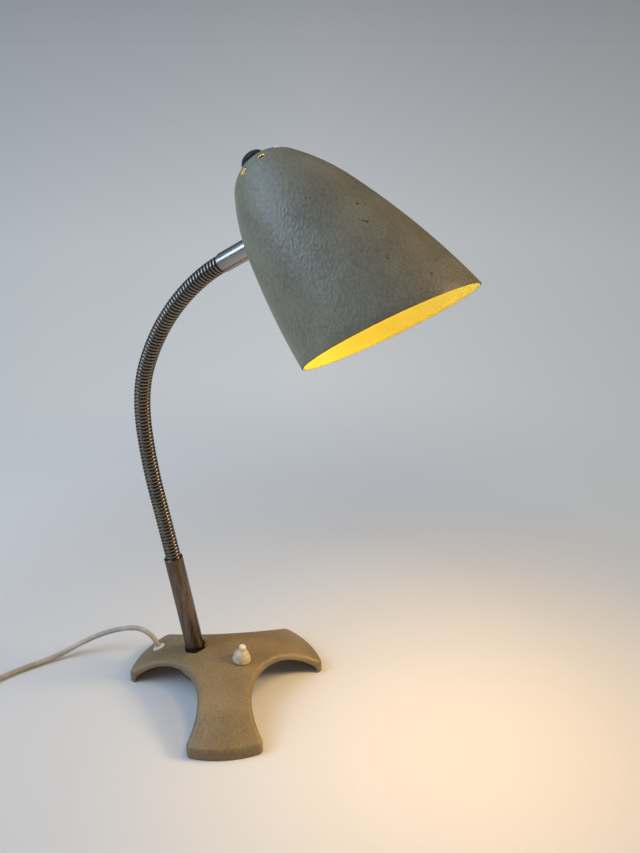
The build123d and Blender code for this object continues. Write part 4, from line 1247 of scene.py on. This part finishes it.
# %% Lights of the room
def soft_light(name, position, aim, size, watts, tint):
    """A square area light that looks at a point, all in metres."""
    data = bpy.data.lights.new(name, "AREA")
    data.shape = "SQUARE"
    data.size = size
    data.energy = watts
    data.color = colour(tint)[:3]
    light = bpy.data.objects.new(name, data)
    scene.collection.objects.link(light)
    light.location = position
    light.rotation_mode = "QUATERNION"
    light.rotation_quaternion = (Vector(aim) - Vector(position)).to_track_quat("-Z", "Y")
    light.visible_camera = False
    return light


window = soft_light("window", (-1.2, -1.1, 1.15), (-0.05, 0.0, 0.2), 1.0, 17.0, "#c6e1ff")
skylight = soft_light("skylight", (-1.2, -0.55, 1.9), (0.0, 0.0, 0.2), 1.3, 15.0, "#beddff")
room_lamp = soft_light(
    "room_lamp", (3.3, 1.57, 2.65), (0.0, 0.0, 0.15), 2.1, 53.0, "#ffe2b3"
)
side_lamp = soft_light(
    "side_lamp", (0.62, 0.30, 0.50), (-0.06, -0.03, 0.0), 0.22, 0.42, "#ffe2b3"
)
side_lamp.data.spread = radians(56)
print("lights:", window.name, skylight.name, room_lamp.name, side_lamp.name)

# %% [markdown]
# ## The lamp's own light
# Light that bounces about inside a shade before it leaves is slow to render and noisy. So
# small warm lamps stand for it: one just past the mouth for the beam, and a weaker one lower
# down for what the pale inside throws past the foot. They ride on the head, so the pool of
# light moves with the shade, and they don't show as highlights.

# %% Beam and downlight
beam_start = apex + shade_axis * 150.0
beam_aim = apex + shade_axis * 300.0
beam = soft_light("beam", beam_start * MM, beam_aim * MM, 0.06, 0.61, "#ffc668")
beam.data.spread = radians(150)
foot_aim = Vector((-120.0, -60.0, 0.0))
below_mouth = beam_start + (foot_aim - beam_start).normalized() * 68.0
downlight = soft_light("downlight", below_mouth * MM, foot_aim * MM, 0.08, 0.14, "#ffd9a8")
for light in (beam, downlight):
    light.visible_glossy = False
    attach(light, "head")
print("lights:", beam.name, downlight.name)

# %% [markdown]
# ### Light in the vents
# The bulb also throws light up round its holder, and each vent shines with it. A weak point
# of light under each vent does the same.

# %% Light under each vent
spill_station, spill_ring, spill_size = 13.0, 21.5, 1.5
for k, angle in enumerate(spokes(vents)):
    out = shade_across * cos(angle) + shade_side * sin(angle)
    spill_data = bpy.data.lights.new(f"spill_{k + 1}", "POINT")
    spill_data.shadow_soft_size = spill_size * MM
    spill_data.energy = 0.005
    spill_data.color = colour("#ffe48a")[:3]
    spill = bpy.data.objects.new(f"spill_{k + 1}", spill_data)
    scene.collection.objects.link(spill)
    spill.location = (apex + shade_axis * spill_station + out * spill_ring) * MM
    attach(spill, "head")
print(vents, "vents lit")
